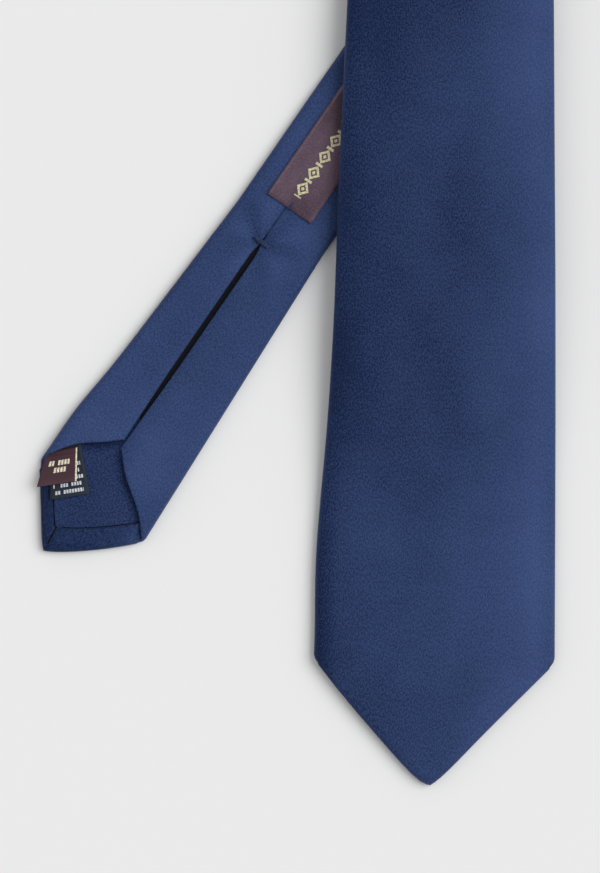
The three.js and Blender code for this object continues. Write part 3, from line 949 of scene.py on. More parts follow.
def bar_tack(name, x, station, length, radius, turn=0, rest=thickness):
    """A wound bar centred at x and station. turn is its angle from straight across the band."""
    turns, steps = round(length / (2.1 * tack_thread)), 10
    across = Vector((math.cos(turn), math.sin(turn)))
    beside = Vector((-math.sin(turn), math.cos(turn)))

    def point(share, sideways, up):
        ends_sink = 0.45 * mm * abs(2 * share - 1) ** 4
        flat = Vector((x, station)) + across * (share - 0.5) * length + beside * sideways
        return laid(flat.x, flat.y, rest + radius - ends_sink + up)

    wound = []
    for n in range(turns * steps + 1):
        share = n / (turns * steps)
        angle = 2 * math.pi * n / steps
        width = radius * (1 - 0.35 * abs(2 * share - 1) ** 3)
        wound.append(point(share, math.cos(angle) * width, math.sin(angle) * width * 0.7))
    core = [[point(share, sideways * radius, 0) for share in spread(0, 1, 12)]
            for sideways in (-0.45, 0, 0.45)]
    return thread(name, [wound] + core, tack_thread, ring=1)


tack_radius = 0.6 * mm
tack_rest = thickness + 0.65 * mm
tail_tack = bar_tack("tail_bar_tack_thread", seam_offset, tail_tack_at, tack_length, tack_radius,
                     math.radians(-4), tack_rest)
blade_tack = bar_tack("blade_bar_tack_thread", seam_offset, blade_tack_at, tack_length, tack_radius,
                      0, tack_rest)
print("bar tacks:", len(tail_tack.data.polygons), "faces each")

# %% [markdown]
# ## Labels
#
# The maker's label is a satin ribbon with its cut ends folded under, caught by one small tack at each end
# so that it also serves to hold the tail. The two small labels are taffeta, caught in under the flap's
# cut edge. Their marks are woven, so they belong to the material and not to the mesh.

# %% The maker's label
label_sheet = 0.22 * mm
label_end = 139 * mm
label_length = 62 * mm
label_width = 17.5 * mm
label_rest = thickness + 0.28 * mm
label_aside = 1.2 * mm
label_across, label_along = 16, 44
label_fold = 0.16 * mm
label_rows_under = 5
label_under = turn_points(label_fold, 3 * mm)[:label_rows_under + 1]
label_curl = 0.35 * mm


def maker_label_place(i, j):
    across = (i / label_across - 0.5) * label_width
    if j <= label_rows_under:
        inset, drop = edge_fold(label_under[j], label_fold)
        along = inset
    elif j >= label_along - label_rows_under:
        inset, drop = edge_fold(label_under[label_along - j], label_fold)
        along = label_length - inset
    else:
        drop = 0
        along = lerp(0, label_length, (j - label_rows_under) / (label_along - 2 * label_rows_under))
    curl = label_curl * math.exp(-along / (3 * mm)) * abs(across / label_width * 2) ** 3
    top = label_rest + label_sheet + 0.1 * mm + curl - drop
    fold_wear_and_light = 1 if drop > 0 else abs(2 * i / label_across - 1) ** 12
    # painted highlight across the lower part of the ribbon and painted shade further up, towards the blade,
    # both strongest in its middle
    painted_light_value = 0.5 + 0.5 * math.sin(along / (34 * mm) * math.pi) * (1 - (2 * across / label_width) ** 2)
    return laid(seam_offset + label_aside + across, label_end + along, top), (across, along), fold_wear_and_light, painted_light_value


maker_label = cloth("maker_label_ribbon", label_across, label_along, maker_label_place, label_sheet)


def label_tack(name, edge, inwards):
    """Two strands over the label's end, from the silk up onto the ribbon."""
    top = label_rest + label_sheet + 0.28 * mm
    paths = []
    for aside in (-0.14 * mm, 0.14 * mm):
        beyond = edge - inwards * 0.35 * mm
        points = [(beyond, thickness - 0.3 * mm), (beyond, thickness + 0.2 * mm), (beyond, top - 0.15 * mm),
                  (edge + inwards * 0.2 * mm, top), (edge + inwards * 1.2 * mm, top + 0.03 * mm),
                  (edge + inwards * 2.1 * mm, top), (edge + inwards * 2.5 * mm, top - 0.35 * mm)]
        paths.append([laid(seam_offset + label_aside + aside, station, depth) for station, depth in points])
    return thread(name, paths, tack_thread, ring=1)


lower_tack = label_tack("maker_label_lower_stitch", label_end, 1)
upper_tack = label_tack("maker_label_upper_stitch", label_end + label_length, -1)
print("maker's label:", len(maker_label.data.polygons), "faces")

# %% [markdown]
# The two small labels come out from under the left flap's cut edge, the origin label over the care label,
# each a little askew. They are placed from the flap's corner: along the cut edge, and out from it. The end
# of the origin label that is caught in under the flap is a piece of its own, which rides on the tail.

# %% The two small labels
flap_corner = Vector((-20.35 * mm, 27.7 * mm))
flap_angle = math.radians(43.3)
along_flap = Vector((math.cos(flap_angle), math.sin(flap_angle)))
from_flap = Vector((math.sin(flap_angle), -math.cos(flap_angle)))


def small_label(name, near, far, start, length, top, curl, rows=(0, 16)):
    """A label under the flap's cut edge. near is the caught end's two corners along that edge, and far
    the free end's. rows says which rows, counted from the free end, are made."""
    across, along = 12, 16
    first, last = rows

    def place(i, j):
        share = 1 - (first + j) / along
        out = lerp(start, length, share)
        side = lerp(lerp(near[0], far[0], share), lerp(near[1], far[1], share), i / across)
        flat = flap_corner + along_flap * side + from_flap * out
        lifted = curl * share ** 2 * (1 - 0.5 * i / across)
        edge = max(abs(2 * i / across - 1) ** 10, share ** 12)
        sunk = 0.9 * mm * (1 - i / across) ** 2 * (1 - share) ** 3
        on_pattern = (i / across * (far[1] - far[0]), out)
        return laid(flat.x, flat.y, top + lifted - sunk), on_pattern, edge, 0.5

    return cloth(name, across, last - first, place, label_sheet)


care_label = small_label("care_label_taffeta", (0.5 * mm, 10.5 * mm), (-2.3 * mm, 11 * mm), -2 * mm,
                         15.1 * mm, lining_top + 0.4 * mm, 0.5 * mm)
origin_shape = ((-1.0 * mm, 9.2 * mm), (-5.9 * mm, 7.4 * mm), -0.6 * mm, 10.3 * mm,
                lining_top + 0.75 * mm, 0.9 * mm)
origin_label = small_label("origin_label_taffeta", *origin_shape, rows=(0, 14))
origin_end = small_label("origin_label_sewn_end", *origin_shape, rows=(14, 16))
print("small labels:", care_label.name, origin_label.name, origin_end.name)

# %% [markdown]
# ## The keeper loop
#
# A narrow strap of the same silk crosses the blade's back, and the tail is tucked through it when the tie
# is worn. It is a strip with both long edges turned under, slack in the middle and tacked at both ends.

# %% The strap and its tacks
keeper_at = tie_length - 226 * mm
keeper_width = 12 * mm
keeper_length = 50 * mm
keeper_end = 5 * mm
keeper_radius = 0.28 * mm
keeper_slack = 0.6 * mm
keeper_edge = turn_points(keeper_radius, 4.5 * mm)
keeper_rows = 30
keeper_lift = 0.95 * mm


def keeper_place(i, j):
    steps_under = len(keeper_edge) - 1
    across_steps = 2 * steps_under + 4
    if i <= steps_under:
        inset, drop = edge_fold(keeper_edge[i], keeper_radius)
        across = inset - keeper_width / 2
        on_pattern = keeper_edge[i] - keeper_width / 2
    elif i >= across_steps - steps_under:
        inset, drop = edge_fold(keeper_edge[across_steps - i], keeper_radius)
        across = keeper_width / 2 - inset
        on_pattern = keeper_width / 2 - keeper_edge[across_steps - i]
    else:
        drop = 0
        across = lerp(-1, 1, (i - steps_under) / 4) * (keeper_width / 2 - keeper_radius)
        on_pattern = across
    along = lerp(-keeper_length / 2, keeper_length / 2, j / keeper_rows)
    slack = keeper_slack * smooth((keeper_length / 2 - keeper_end - abs(along)) / (9 * mm))
    top = thickness + keeper_lift + slack - drop
    # the turned edges take the fold colour: lighter, partly as rubbing and partly as a painted highlight
    fold_wear_and_light = 1 if 0 < drop < 2 * keeper_radius else 0
    return laid(along, keeper_at - across, top), (on_pattern, along), fold_wear_and_light, 0.5


keeper_loop = cloth("keeper_loop_strap", 2 * (len(keeper_edge) - 1) + 4, keeper_rows, keeper_place,
                    0.22 * mm)
keeper_tacks = [
    bar_tack(name, side * (keeper_length / 2 - keeper_end / 2), keeper_at, keeper_width * 0.6, 0.28 * mm,
             math.radians(90), thickness + 0.9 * mm)
    for name, side in (("keeper_loop_left_stitches", -1), ("keeper_loop_right_stitches", 1))
]
print("keeper loop:", len(keeper_loop.data.polygons), "faces")

# %% [markdown]
# ## Finishes
#
# A cloth is judged by three things: its colour, which is never even and carries broad clouds of painted
# sheen; its grain, which is fine but never absent; and its folded edges, which the satin shows lighter,
# partly from rubbing and partly as a painted highlight. Each of these is built once, as a group of shader
# nodes, and every cloth places the groups it needs with its own values. All of them read the flat pattern's
# UV, so the grain turns with the cloth and runs at 45 degrees to the band, because ties are cut on the bias.

# %% Helpers for node trees
def new_group(name, inputs, outputs):
    tree = bpy.data.node_groups.new(name, "ShaderNodeTree")
    for socket, kind, value in inputs:
        made = tree.interface.new_socket(name=socket, in_out="INPUT", socket_type=kind)
        if value is not None:
            made.default_value = value
    for socket, kind in outputs:
        tree.interface.new_socket(name=socket, in_out="OUTPUT", socket_type=kind)
    return tree, tree.nodes.new("NodeGroupInput"), tree.nodes.new("NodeGroupOutput")


def feed(tree, socket, value):
    if isinstance(value, bpy.types.NodeSocket):
        tree.links.new(value, socket)
    else:
        socket.default_value = value


def node(tree, kind, values=None, **settings):
    made = tree.nodes.new(kind)
    for setting, value in settings.items():
        setattr(made, setting, value)
    for socket, value in (values or {}).items():
        feed(tree, made.inputs[socket], value)
    return made


def calculate(tree, operation, *values, clamp=False):
    made = node(tree, "ShaderNodeMath", dict(enumerate(values)), operation=operation, use_clamp=clamp)
    return made.outputs[0]


def weighted(tree, one, one_share, other, other_share):
    """The sum of two values, each times its share."""
    first = calculate(tree, "MULTIPLY", one, one_share)
    return calculate(tree, "ADD", first, calculate(tree, "MULTIPLY", other, other_share))


def spread_out(tree, value, gain):
    """A value pushed away from its middle, and kept between 0 and 1."""
    from_middle = calculate(tree, "SUBTRACT", value, 0.5)
    return calculate(tree, "MULTIPLY_ADD", from_middle, gain, 0.5, clamp=True)


def blend_colours(tree, share, one, other):
    mix = node(tree, "ShaderNodeMix", {"Factor": share}, data_type="RGBA")
    feed(tree, mix.inputs[6], one)
    feed(tree, mix.inputs[7], other)
    return mix.outputs[2]


def noise_on(tree, vector, size, detail=2.0, roughness=0.5):
    values = {"Vector": vector, "Scale": 1 / size, "Detail": detail, "Roughness": roughness}
    return node(tree, "ShaderNodeTexNoise", values).outputs["Fac"]


def turned(tree, vector, angle, scale=(1, 1, 1)):
    values = {"Vector": vector, "Rotation": (0, 0, angle), "Scale": scale}
    return node(tree, "ShaderNodeMapping", values).outputs["Vector"]


print("helpers for node trees are ready in Blender", bpy.app.version_string)

# %% [markdown]
# ## Groups that the cloths share
#
# The weave counts in threads: the pattern's metres are divided by the thread's width, and stretched noise
# along the two biases stands for warp and weft. The second group is painted sheen: broad, soft clouds,
# random in place, that make the satin's colour lighter and darker. The third reads the fold value kept with
# each point, which stands partly for rubbing and partly for painted light on the folds, and breaks it up,
# since cloth never rubs evenly.

# %% The groups: weave, painted sheen, fold rubbing and painted fold light
bias = math.pi / 4

weave_group, weave_in, weave_out = new_group(
    "bias_weave", [("Pattern", "NodeSocketVector", None), ("Thread", "NodeSocketFloat", 0.0003)],
    [("Grain", "NodeSocketFloat"), ("Height", "NodeSocketFloat")])
threads_across = node(weave_group, "ShaderNodeVectorMath", operation="DIVIDE")
weave_group.links.new(weave_in.outputs["Pattern"], threads_across.inputs[0])
thread_size = node(weave_group, "ShaderNodeCombineXYZ")
for axis in range(3):
    weave_group.links.new(weave_in.outputs["Thread"], thread_size.inputs[axis])
weave_group.links.new(thread_size.outputs[0], threads_across.inputs[1])
counted = threads_across.outputs[0]
warp = noise_on(weave_group, turned(weave_group, counted, bias, (1, 0.5, 1)), 2.0, 1.0)
weft = noise_on(weave_group, turned(weave_group, counted, -bias, (1, 0.5, 1)), 2.0, 1.0)
fleck = noise_on(weave_group, counted, 2.4, 1.0)
ribs = node(weave_group, "ShaderNodeTexWave", {"Vector": turned(weave_group, counted, bias), "Scale": 0.32,
                                               "Distortion": 0.6, "Detail": 1.0}).outputs["Fac"]
both = weighted(weave_group, warp, 0.4, weft, 0.25)
grain = calculate(weave_group, "ADD", both, calculate(weave_group, "MULTIPLY", fleck, 0.35))
weave_group.links.new(spread_out(weave_group, grain, 6.5), weave_out.inputs["Grain"])
height = calculate(weave_group, "ADD", calculate(weave_group, "MULTIPLY", ribs, 0.5), grain)
weave_group.links.new(height, weave_out.inputs["Height"])

# painted sheen: broad soft clouds, random in place, stand for the satin's uneven sheen in its colour
painted_sheen_group, painted_sheen_in, painted_sheen_out = new_group(
    "painted_satin_sheen", [("Pattern", "NodeSocketVector", None)], [("Mottle", "NodeSocketFloat")])
drawn_out = turned(painted_sheen_group, painted_sheen_in.outputs["Pattern"], 0, (1, 0.55, 1))
broad = noise_on(painted_sheen_group, drawn_out, 0.034, 1.0)
narrow = noise_on(painted_sheen_group, painted_sheen_in.outputs["Pattern"], 0.009, 2.0)
painted_sheen_mix = weighted(painted_sheen_group, broad, 0.75, narrow, 0.25)
painted_sheen_group.links.new(spread_out(painted_sheen_group, painted_sheen_mix, 3.4), painted_sheen_out.inputs["Mottle"])

# fold light: lightens the satin's folded edges, partly as rubbing and partly as a painted highlight, and
# darkens the lining's groove edge as painted shade; each material gives the colour
wear_and_light_group, wear_and_light_in, wear_and_light_out = new_group(
    "rubbed_and_lit_fold", [("Pattern", "NodeSocketVector", None), ("Amount", "NodeSocketFloat", 0.5)],
    [("WornAndLit", "NodeSocketFloat")])
on_fold = node(wear_and_light_group, "ShaderNodeAttribute", attribute_name="fold_wear_and_light").outputs["Fac"]
patchy = noise_on(wear_and_light_group, wear_and_light_in.outputs["Pattern"], 0.0022, 3.0)
rubbed_and_lit = calculate(wear_and_light_group, "MULTIPLY", on_fold, calculate(wear_and_light_group, "MULTIPLY_ADD", patchy, 1.2, -0.1))
wear_and_light_group.links.new(calculate(wear_and_light_group, "MULTIPLY", rubbed_and_lit, wear_and_light_in.outputs["Amount"], clamp=True),
                     wear_and_light_out.inputs["WornAndLit"])
print("groups:", [group.name for group in bpy.data.node_groups])

# %% [markdown]
# ## Materials
#
# Every material starts from the Principled shader. A cloth also reads the UV map that keeps its flat
# pattern, and passes it to the groups it uses.


# %% A material, with its groups
def new_material(name):
    material = bpy.data.materials.new(name)
    material.use_nodes = True
    return material, material.node_tree, material.node_tree.nodes["Principled BSDF"]


def cloth_material(name):
    """A Principled material, its tree, its shader and the flat pattern's coordinates."""
    material, tree, shader = new_material(name)
    pattern = node(tree, "ShaderNodeUVMap", uv_map="pattern_m").outputs["UV"]
    return material, tree, shader, pattern


def use_group(tree, group, **values):
    placed = node(tree, "ShaderNodeGroup", node_tree=group)
    for socket, value in values.items():
        feed(tree, placed.inputs[socket], value)
    return placed.outputs


def set_sockets(shader, values):
    for socket, value in values.items():
        shader.inputs[socket].default_value = value


def bump(tree, shader, height, distance, strength=1.0):
    values = {"Height": height, "Distance": distance, "Strength": strength}
    tree.links.new(node(tree, "ShaderNodeBump", values).outputs["Normal"], shader.inputs["Normal"])


print("a cloth's material reads the UV map pattern_m, in metres")

# %% [markdown]
# Navy satin is dark, but its floats catch light as a fine speckle, and broad lighter and darker clouds of
# painted sheen lie in its colour. The reflection is tinted and held low, so the colour stays deep; a little
# sheen lifts the rolled sides. A painted light value, kept with each point, lightens the flaps and the
# blade's right side and darkens its left side, the puckers and the lining's window as painted shade. The
# lining is cut from the same cloth; it lies deep in its window, and painted shade darkens it there and in
# its groove.

# %% Navy silk
def silk_material(name, deep, light, wear_and_light_to, thread_size_m, rough):
    material, tree, shader, pattern = cloth_material(name)
    weave = use_group(tree, weave_group, Pattern=pattern, Thread=thread_size_m)
    painted_sheen = use_group(tree, painted_sheen_group, Pattern=pattern)["Mottle"]
    worn_and_lit = use_group(tree, wear_and_light_group, Pattern=pattern, Amount=0.55)["WornAndLit"]
    # painted light: the value kept with each point lightens and darkens the colour as painted highlight and
    # shade
    painted_light = node(tree, "ShaderNodeAttribute", attribute_name="painted_light").outputs["Fac"]
    turned_to_light = calculate(tree, "MULTIPLY_ADD", painted_light, 0.58, -0.325)
    clouded = calculate(tree, "MULTIPLY_ADD", painted_sheen, 0.23, turned_to_light)
    tone = calculate(tree, "MULTIPLY_ADD", weave["Grain"], 0.46, clouded, clamp=True)
    # folded edges blend to the fold colour: on the satin a lighter tone, partly rubbing and partly painted
    # highlight; in the lining a darker tone, painted shade
    colour = blend_colours(tree, worn_and_lit, blend_colours(tree, tone, deep, light), wear_and_light_to)
    tree.links.new(colour, shader.inputs["Base Color"])
    uneven = calculate(tree, "MULTIPLY_ADD", clouded, -0.18, rough)
    grained = calculate(tree, "MULTIPLY_ADD", weave["Grain"], 0.08, uneven)
    tree.links.new(calculate(tree, "MULTIPLY_ADD", worn_and_lit, 0.12, grained), shader.inputs["Roughness"])
    bump(tree, shader, weave["Height"], 0.06 * mm, 0.8)
    set_sockets(shader, {"Specular IOR Level": 0.3, "Specular Tint": (0.36, 0.5, 1.0, 1),
                         "Sheen Weight": 0.12, "Sheen Roughness": 0.4, "Sheen Tint": (0.35, 0.45, 0.8, 1)})
    return material


silk_satin = silk_material("navy_silk_satin", (0.001, 0.006, 0.030, 1), (0.0415, 0.071, 0.186, 1),
                           (0.034, 0.058, 0.145, 1), 0.22 * mm, 0.5)
# the lining's fold colour is darker than its cloth: painted shade in the groove beside the hem
silk_lining = silk_material("navy_silk_lining", (0.001, 0.006, 0.030, 1), (0.048, 0.079, 0.206, 1),
                            (0.018, 0.036, 0.1, 1), 0.2 * mm, 0.55)
print("silks:", silk_satin.name, "and", silk_lining.name)

# %% [markdown]
# The interlining shows only in the open slit, as a very dark, matt strip. Its fibres are noise drawn out
# along one direction, in soft clumps.

# %% Brushed wool
wool_material, tree, shader, pattern = cloth_material("brushed_wool")
fibres = noise_on(tree, turned(tree, pattern, math.radians(20), (1, 0.25, 1)), 0.00035, 4.0, 0.7)
clumps = noise_on(tree, pattern, 0.0025, 3.0)
felt = calculate(tree, "MULTIPLY_ADD", fibres, 0.6, calculate(tree, "MULTIPLY", clumps, 0.4))
tree.links.new(blend_colours(tree, felt, (0.002, 0.0022, 0.0035, 1), (0.011, 0.012, 0.018, 1)),
               shader.inputs["Base Color"])
tree.links.new(calculate(tree, "MULTIPLY_ADD", clumps, 0.1, 0.88), shader.inputs["Roughness"])
bump(tree, shader, felt, 0.2 * mm)
set_sockets(shader, {"Specular IOR Level": 0.1, "Sheen Weight": 0.05, "Sheen Roughness": 0.6})
print(wool_material.name, "has", len(tree.nodes), "nodes")

# %% [markdown]
# Sewing thread is two or three plies twisted together. The twist is a slanting wave across the thread,
# read from the object's own coordinates, since a thread has no flat pattern.

# %% Sewing thread
thread_material, tree, shader = new_material("navy_sewing_thread")
where = node(tree, "ShaderNodeTexCoord").outputs["Object"]
ply_waves = {"Vector": turned(tree, where, math.radians(35)), "Scale": 1 / (3 * mm), "Distortion": 1.2,
             "Detail": 1.0}
plies = node(tree, "ShaderNodeTexWave", ply_waves).outputs["Fac"]
fuzz = noise_on(tree, where, 0.5 * mm, 3.0)
twist = calculate(tree, "MULTIPLY_ADD", plies, 0.6, calculate(tree, "MULTIPLY", fuzz, 0.4))
tree.links.new(blend_colours(tree, twist, (0.007, 0.016, 0.048, 1), (0.040, 0.068, 0.175, 1)),
               shader.inputs["Base Color"])
tree.links.new(calculate(tree, "MULTIPLY_ADD", fuzz, 0.2, 0.4), shader.inputs["Roughness"])
bump(tree, shader, twist, 0.05 * mm)
set_sockets(shader, {"Specular IOR Level": 0.35, "Specular Tint": (0.5, 0.6, 1.0, 1), "Sheen Weight": 0.1})
print(thread_material.name, "has", len(tree.nodes), "nodes")

# %% [markdown]
# The labels are woven ribbons. Their marks carry no words: the two small ones have rows of short woven
# dashes, as long as the rows of a real label, and the maker's has a chain of lozenges. A row of dashes is
# a band across the label cut into cells, some of them left empty; where the yarn of the marks comes up,
# it stands a little proud.

# %% Woven dashes and lozenges
dash_group, dash_in, dash_out = new_group(
    "woven_dashes",
    [("Pattern", "NodeSocketVector", None), ("Row", "NodeSocketFloat", 0.0),
     ("Height", "NodeSocketFloat", 0.0015), ("Start", "NodeSocketFloat", 0.0),
     ("End", "NodeSocketFloat", 0.01), ("Cell", "NodeSocketFloat", 0.001)],
    [("Mask", "NodeSocketFloat")])
apart = node(dash_group, "ShaderNodeSeparateXYZ", {"Vector": dash_in.outputs["Pattern"]}).outputs
beyond_row = calculate(dash_group, "SUBTRACT", apart["Y"], dash_in.outputs["Row"])
from_row = calculate(dash_group, "ABSOLUTE", beyond_row)
half_row = calculate(dash_group, "MULTIPLY", dash_in.outputs["Height"], 0.5)
in_row = calculate(dash_group, "LESS_THAN", from_row, half_row)
after_start = calculate(dash_group, "GREATER_THAN", apart["X"], dash_in.outputs["Start"])
before_end = calculate(dash_group, "LESS_THAN", apart["X"], dash_in.outputs["End"])
cells = calculate(dash_group, "DIVIDE", apart["X"], dash_in.outputs["Cell"])
in_cell = calculate(dash_group, "LESS_THAN", calculate(dash_group, "FRACT", cells), 0.72)
cell_number = node(dash_group, "ShaderNodeCombineXYZ", {"X": calculate(dash_group, "FLOOR", cells),
                                                        "Y": dash_in.outputs["Row"]}).outputs[0]
chance = node(dash_group, "ShaderNodeTexWhiteNoise", {"Vector": cell_number}, noise_dimensions="2D")
filled = calculate(dash_group, "GREATER_THAN", chance.outputs["Value"], 0.16)
mask = in_row
for share in (after_start, before_end, in_cell, filled):
    mask = calculate(dash_group, "MULTIPLY", mask, share)
dash_group.links.new(mask, dash_out.inputs["Mask"])


def label_material(name, deep, light, mark, masks_of, rough, sheen_tint):
    """A ribbon: its ground in fine ribs, and marks in a second yarn."""
    material, tree, shader, pattern = cloth_material(name)
    weave = use_group(tree, weave_group, Pattern=turned(tree, pattern, bias), Thread=0.22 * mm)
    painted_sheen = use_group(tree, painted_sheen_group, Pattern=turned(tree, pattern, 0, (3, 3, 3)))["Mottle"]
    worn_and_lit = use_group(tree, wear_and_light_group, Pattern=pattern, Amount=0.4)["WornAndLit"]
    # painted light: the value kept with each point gives the maker's ribbon its painted highlight and shade;
    # the painted sheen clouds are finer here
    painted_light = node(tree, "ShaderNodeAttribute", attribute_name="painted_light").outputs["Fac"]
    turned_to_light = calculate(tree, "MULTIPLY_ADD", painted_light, 0.5, -0.15)
    clouded = calculate(tree, "MULTIPLY_ADD", painted_sheen, 0.35, turned_to_light)
    tone = calculate(tree, "MULTIPLY_ADD", weave["Grain"], 0.3, clouded, clamp=True)
    # the ribbons' edges and folded ends are painted lighter, partly as rubbing and partly as a highlight
    wear_and_light_to = [2.2 * value for value in light[:3]] + [1]
    ground = blend_colours(tree, worn_and_lit, blend_colours(tree, tone, deep, light), wear_and_light_to)
    raised = masks_of(tree, pattern)
    dark_mark = [0.6 * value for value in mark[:3]] + [1]
    uneven_mark = blend_colours(tree, weave["Grain"], dark_mark, mark)
    tree.links.new(blend_colours(tree, raised, ground, uneven_mark), shader.inputs["Base Color"])
    tree.links.new(calculate(tree, "MULTIPLY_ADD", weave["Grain"], 0.12, rough), shader.inputs["Roughness"])
    bump(tree, shader, calculate(tree, "ADD", weave["Height"], raised), 0.06 * mm)
    set_sockets(shader, {"Specular IOR Level": 0.35, "Sheen Weight": 0.1, "Sheen Tint": sheen_tint,
                         "Specular Tint": sheen_tint})
    return material


def rows_of_dashes(rows, cell, height):
    """rows: (distance from the flap, start, end)."""
    def masks(tree, pattern):
        total = 0
        for at, start, end in rows:
            made = use_group(tree, dash_group, Pattern=pattern, Row=at * mm, Start=start * mm, End=end * mm,
                             Cell=cell, Height=height)["Mask"]
            total = calculate(tree, "ADD", total, made, clamp=True)
        return total
    return masks


def lozenge_chain(tree, pattern):
    """Lozenges joined by bars along the ribbon's middle, from a little above its end."""
    pitch, half_across, half_along = 6.4 * mm, 2.3 * mm, 2.7 * mm
    apart = node(tree, "ShaderNodeSeparateXYZ", {"Vector": pattern}).outputs
    across = calculate(tree, "ABSOLUTE", apart["X"])
    along = calculate(tree, "SUBTRACT", apart["Y"], 4.7 * mm)
    repeats = calculate(tree, "FRACT", calculate(tree, "DIVIDE", along, pitch))
    from_middle = calculate(tree, "ABSOLUTE", calculate(tree, "MULTIPLY_ADD", repeats, pitch, -pitch / 2))
    lozenge = calculate(tree, "ADD", calculate(tree, "DIVIDE", across, half_across),
                        calculate(tree, "DIVIDE", from_middle, half_along))
    outer = calculate(tree, "LESS_THAN", lozenge, 1)
    hollow = calculate(tree, "MULTIPLY", calculate(tree, "LESS_THAN", lozenge, 0.55),
                       calculate(tree, "GREATER_THAN", lozenge, 0.28))
    ring = calculate(tree, "SUBTRACT", outer, hollow)
    bar = calculate(tree, "MULTIPLY", calculate(tree, "LESS_THAN", across, 1.3 * mm),
                    calculate(tree, "GREATER_THAN", from_middle, 2.75 * mm))
    started = calculate(tree, "GREATER_THAN", along, 0)
    ended = calculate(tree, "LESS_THAN", along, 8 * pitch)
    drawn = calculate(tree, "MULTIPLY", calculate(tree, "MAXIMUM", ring, bar),
                      calculate(tree, "MULTIPLY", started, ended))
    edge_line = calculate(tree, "COMPARE", apart["X"], -label_width / 2 + 0.7 * mm, 0.12 * mm)
    return calculate(tree, "MULTIPLY_ADD", edge_line, 0.12, drawn, clamp=True)


def origin_marks(tree, pattern):
    rows = rows_of_dashes([(3.5, 2.3, 10.4), (5.8, 3.6, 9.2)], 1.2 * mm, 1.6 * mm)(tree, pattern)
    across = node(tree, "ShaderNodeSeparateXYZ", {"Vector": pattern}).outputs["X"]
    selvedge = calculate(tree, "GREATER_THAN", across, 12.75 * mm)
    return calculate(tree, "ADD", rows, selvedge, clamp=True)


maker_satin = label_material("aubergine_satin_ribbon", (0.020, 0.010, 0.017, 1), (0.138, 0.090, 0.130, 1),
                             (0.72, 0.66, 0.42, 1), lozenge_chain, 0.38, (0.9, 0.7, 0.8, 1))
origin_taffeta = label_material("maroon_taffeta", (0.036, 0.016, 0.022, 1), (0.070, 0.034, 0.046, 1),
                                (0.86, 0.80, 0.62, 1), origin_marks, 0.6, (0.9, 0.7, 0.7, 1))
care_rows = [(13.3, 1.4, 11.6), (11.1, 1.2, 11.2), (8.9, 1.6, 12.2), (6.7, 1.4, 11), (4.5, 1.4, 11.8)]
care_taffeta = label_material("black_taffeta", (0.006, 0.008, 0.012, 1), (0.018, 0.022, 0.031, 1),
                              (0.68, 0.72, 0.78, 1), rows_of_dashes(care_rows, 0.95 * mm, 1.2 * mm), 0.62,
                              (0.7, 0.8, 1.0, 1))
print("ribbons:", maker_satin.name, origin_taffeta.name, care_taffeta.name)

# %% [markdown]
# ## Cutting the pieces
#
# Each piece gets its one material here, in one list, so that a different silk can be tried in one place.

# %% Which cloth each piece is cut from
finishes = [
    (silk_satin, (tail_silk, neck_silk, blade_silk, keeper_loop)),
    (silk_lining, (tail_lining, blade_lining)),
    (wool_material, (tail_wool, blade_wool)),
    (thread_material, (tail_slip, blade_slip, tail_tipping_stitches, blade_tipping_stitches, tail_tack,
                       blade_tack, lower_tack, upper_tack, *keeper_tacks)),
    (maker_satin, (maker_label,)),
    (origin_taffeta, (origin_label, origin_end)),
    (care_taffeta, (care_label,)),
]
for material, pieces in finishes:
    for piece in pieces:
        piece.data.materials.clear()
        piece.data.materials.append(material)
    print(material.name, "on", ", ".join(piece.name for piece in pieces))

# %% [markdown]
# ## The set
#
# The tie lies on a pale table in soft light. A wide sun gives the blurred shadow, and an even white world
# fills it. The camera looks straight down from far above with a long lens, so that the tie keeps its true
# outline, and is placed from the blade's point.

# %% The set: floor, light and camera
blade_point = laid(0, tie_length, 0)
floor_reach = 4
floor_mesh = bmesh.new()
bmesh.ops.create_grid(floor_mesh, x_segments=1, y_segments=1, size=floor_reach)
floor = finish_mesh(floor_mesh, "studio_floor")
paper, tree, shader = new_material("pale_paper")
set_sockets(shader, {"Base Color": (0.8, 0.8, 0.8, 1), "Roughness": 0.9})
floor.data.materials.append(paper)

scene = bpy.context.scene
scene.view_settings.view_transform = "Standard"
world = bpy.data.worlds.new("studio")
world.use_nodes = True
world.node_tree.nodes["Background"].inputs["Color"].default_value = (1, 1, 1, 1)
world.node_tree.nodes["Background"].inputs["Strength"].default_value = 0.59
scene.world = world

sun = bpy.data.lights.new("key_light", "SUN")
sun.energy = 1.84
sun.angle = math.radians(48)
key = bpy.data.objects.new("key_light", sun)
towards_light = Vector((0.8, 0.25, 0.95))
key.rotation_euler = towards_light.to_track_quat("Z", "Y").to_euler()
scene.collection.objects.link(key)

view_centre = Vector((blade_point.x - 43.0 * mm, blade_point.y + 115.2 * mm, 0))
view_height = 288.6 * mm
camera_distance = 1.8
camera = bpy.data.cameras.new("camera")
camera.sensor_fit = "VERTICAL"
camera.sensor_height = 24
camera.lens = camera.sensor_height * camera_distance / view_height
camera_object = bpy.data.objects.new("camera", camera)
camera_object.location = view_centre + Vector((0, 0, camera_distance))
scene.collection.objects.link(camera_object)
scene.camera = camera_object
print("the view is", round(view_height / mm, 1), "mm tall; lens, mm:", round(camera.lens, 1))

# %% [markdown]
# ## What moves with what
#
# A tie has no hinges, only places where its cloth folds. A piece on one side of a fold rides on that side's
# body. The neck, the tail's interlining and the two small labels ride on no body: they keep their place, and
# their transforms are baked into their meshes. When the neck opens a ridge stays where the bend was, and
# when the care label turns up it still crosses the origin label's sewn end.


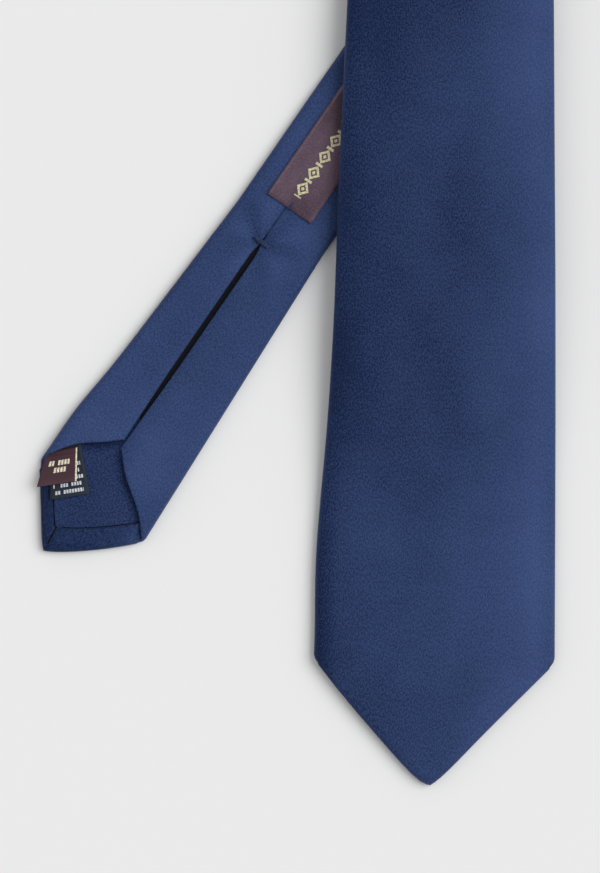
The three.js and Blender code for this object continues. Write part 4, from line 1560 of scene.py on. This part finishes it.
stands_for = [
    (tail_silk, "tail_silk", "silk_satin", "tail_leg"),
    (neck_silk, "neck_silk", "silk_satin", None),
    (blade_silk, "blade_silk", "silk_satin", "blade_leg"),
    (tail_wool, "tail_interlining", "wool_interlining", None),
    (blade_wool, "blade_interlining", "wool_interlining", "blade_leg"),
    (tail_lining, "tail_tipping", "silk_lining", "tail_leg"),
    (blade_lining, "blade_tipping", "silk_lining", "blade_leg"),
    (tail_tipping_stitches, "tail_tipping_seam", "navy_thread", "tail_leg"),
    (blade_tipping_stitches, "blade_tipping_seam", "navy_thread", "blade_leg"),
    (tail_slip, "tail_slip_stitch", "navy_thread", "tail_leg"),
    (blade_slip, "blade_slip_stitch", "navy_thread", "blade_leg"),
    (tail_tack, "tail_bar_tack", "navy_thread", "tail_leg"),
    (blade_tack, "blade_bar_tack", "navy_thread", "blade_leg"),
    (maker_label, "maker_label", "maker_label_satin", "tail_leg"),
    (lower_tack, "maker_label_lower_tack", "navy_thread", "tail_leg"),
    (upper_tack, "maker_label_upper_tack", "navy_thread", "tail_leg"),
    (care_label, "care_label", "care_label_taffeta", None),
    (origin_label, "origin_label", "origin_label_taffeta", None),
    (keeper_loop, "keeper_loop", "silk_satin", "blade_leg"),
    (keeper_tacks[0], "keeper_loop_left_tack", "navy_thread", "blade_leg"),
    (keeper_tacks[1], "keeper_loop_right_tack", "navy_thread", "blade_leg"),
]
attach(origin_end, "tail_leg")
for piece, cad_node, slot, body in stands_for:
    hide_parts(cad_node)
    if body:
        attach(piece, body)
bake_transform(neck_silk)
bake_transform(tail_wool)
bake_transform(care_label)
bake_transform(origin_label)
print(len(stands_for), "pieces stand for CAD nodes, and", origin_end.name, "is added")

# %% [markdown]
# ## The sheets
#
# A sheet's flat size is read back from its pattern, so it is always the cloth that was really drawn.

# %% Every sheet of cloth, and its flat size
declare_sheet(tail_silk)
declare_sheet(neck_silk)
declare_sheet(blade_silk)
declare_sheet(tail_wool)
declare_sheet(blade_wool)
declare_sheet(tail_lining)
declare_sheet(blade_lining)
declare_sheet(maker_label)
declare_sheet(care_label)
declare_sheet(origin_label, [origin_end])
declare_sheet(keeper_loop)
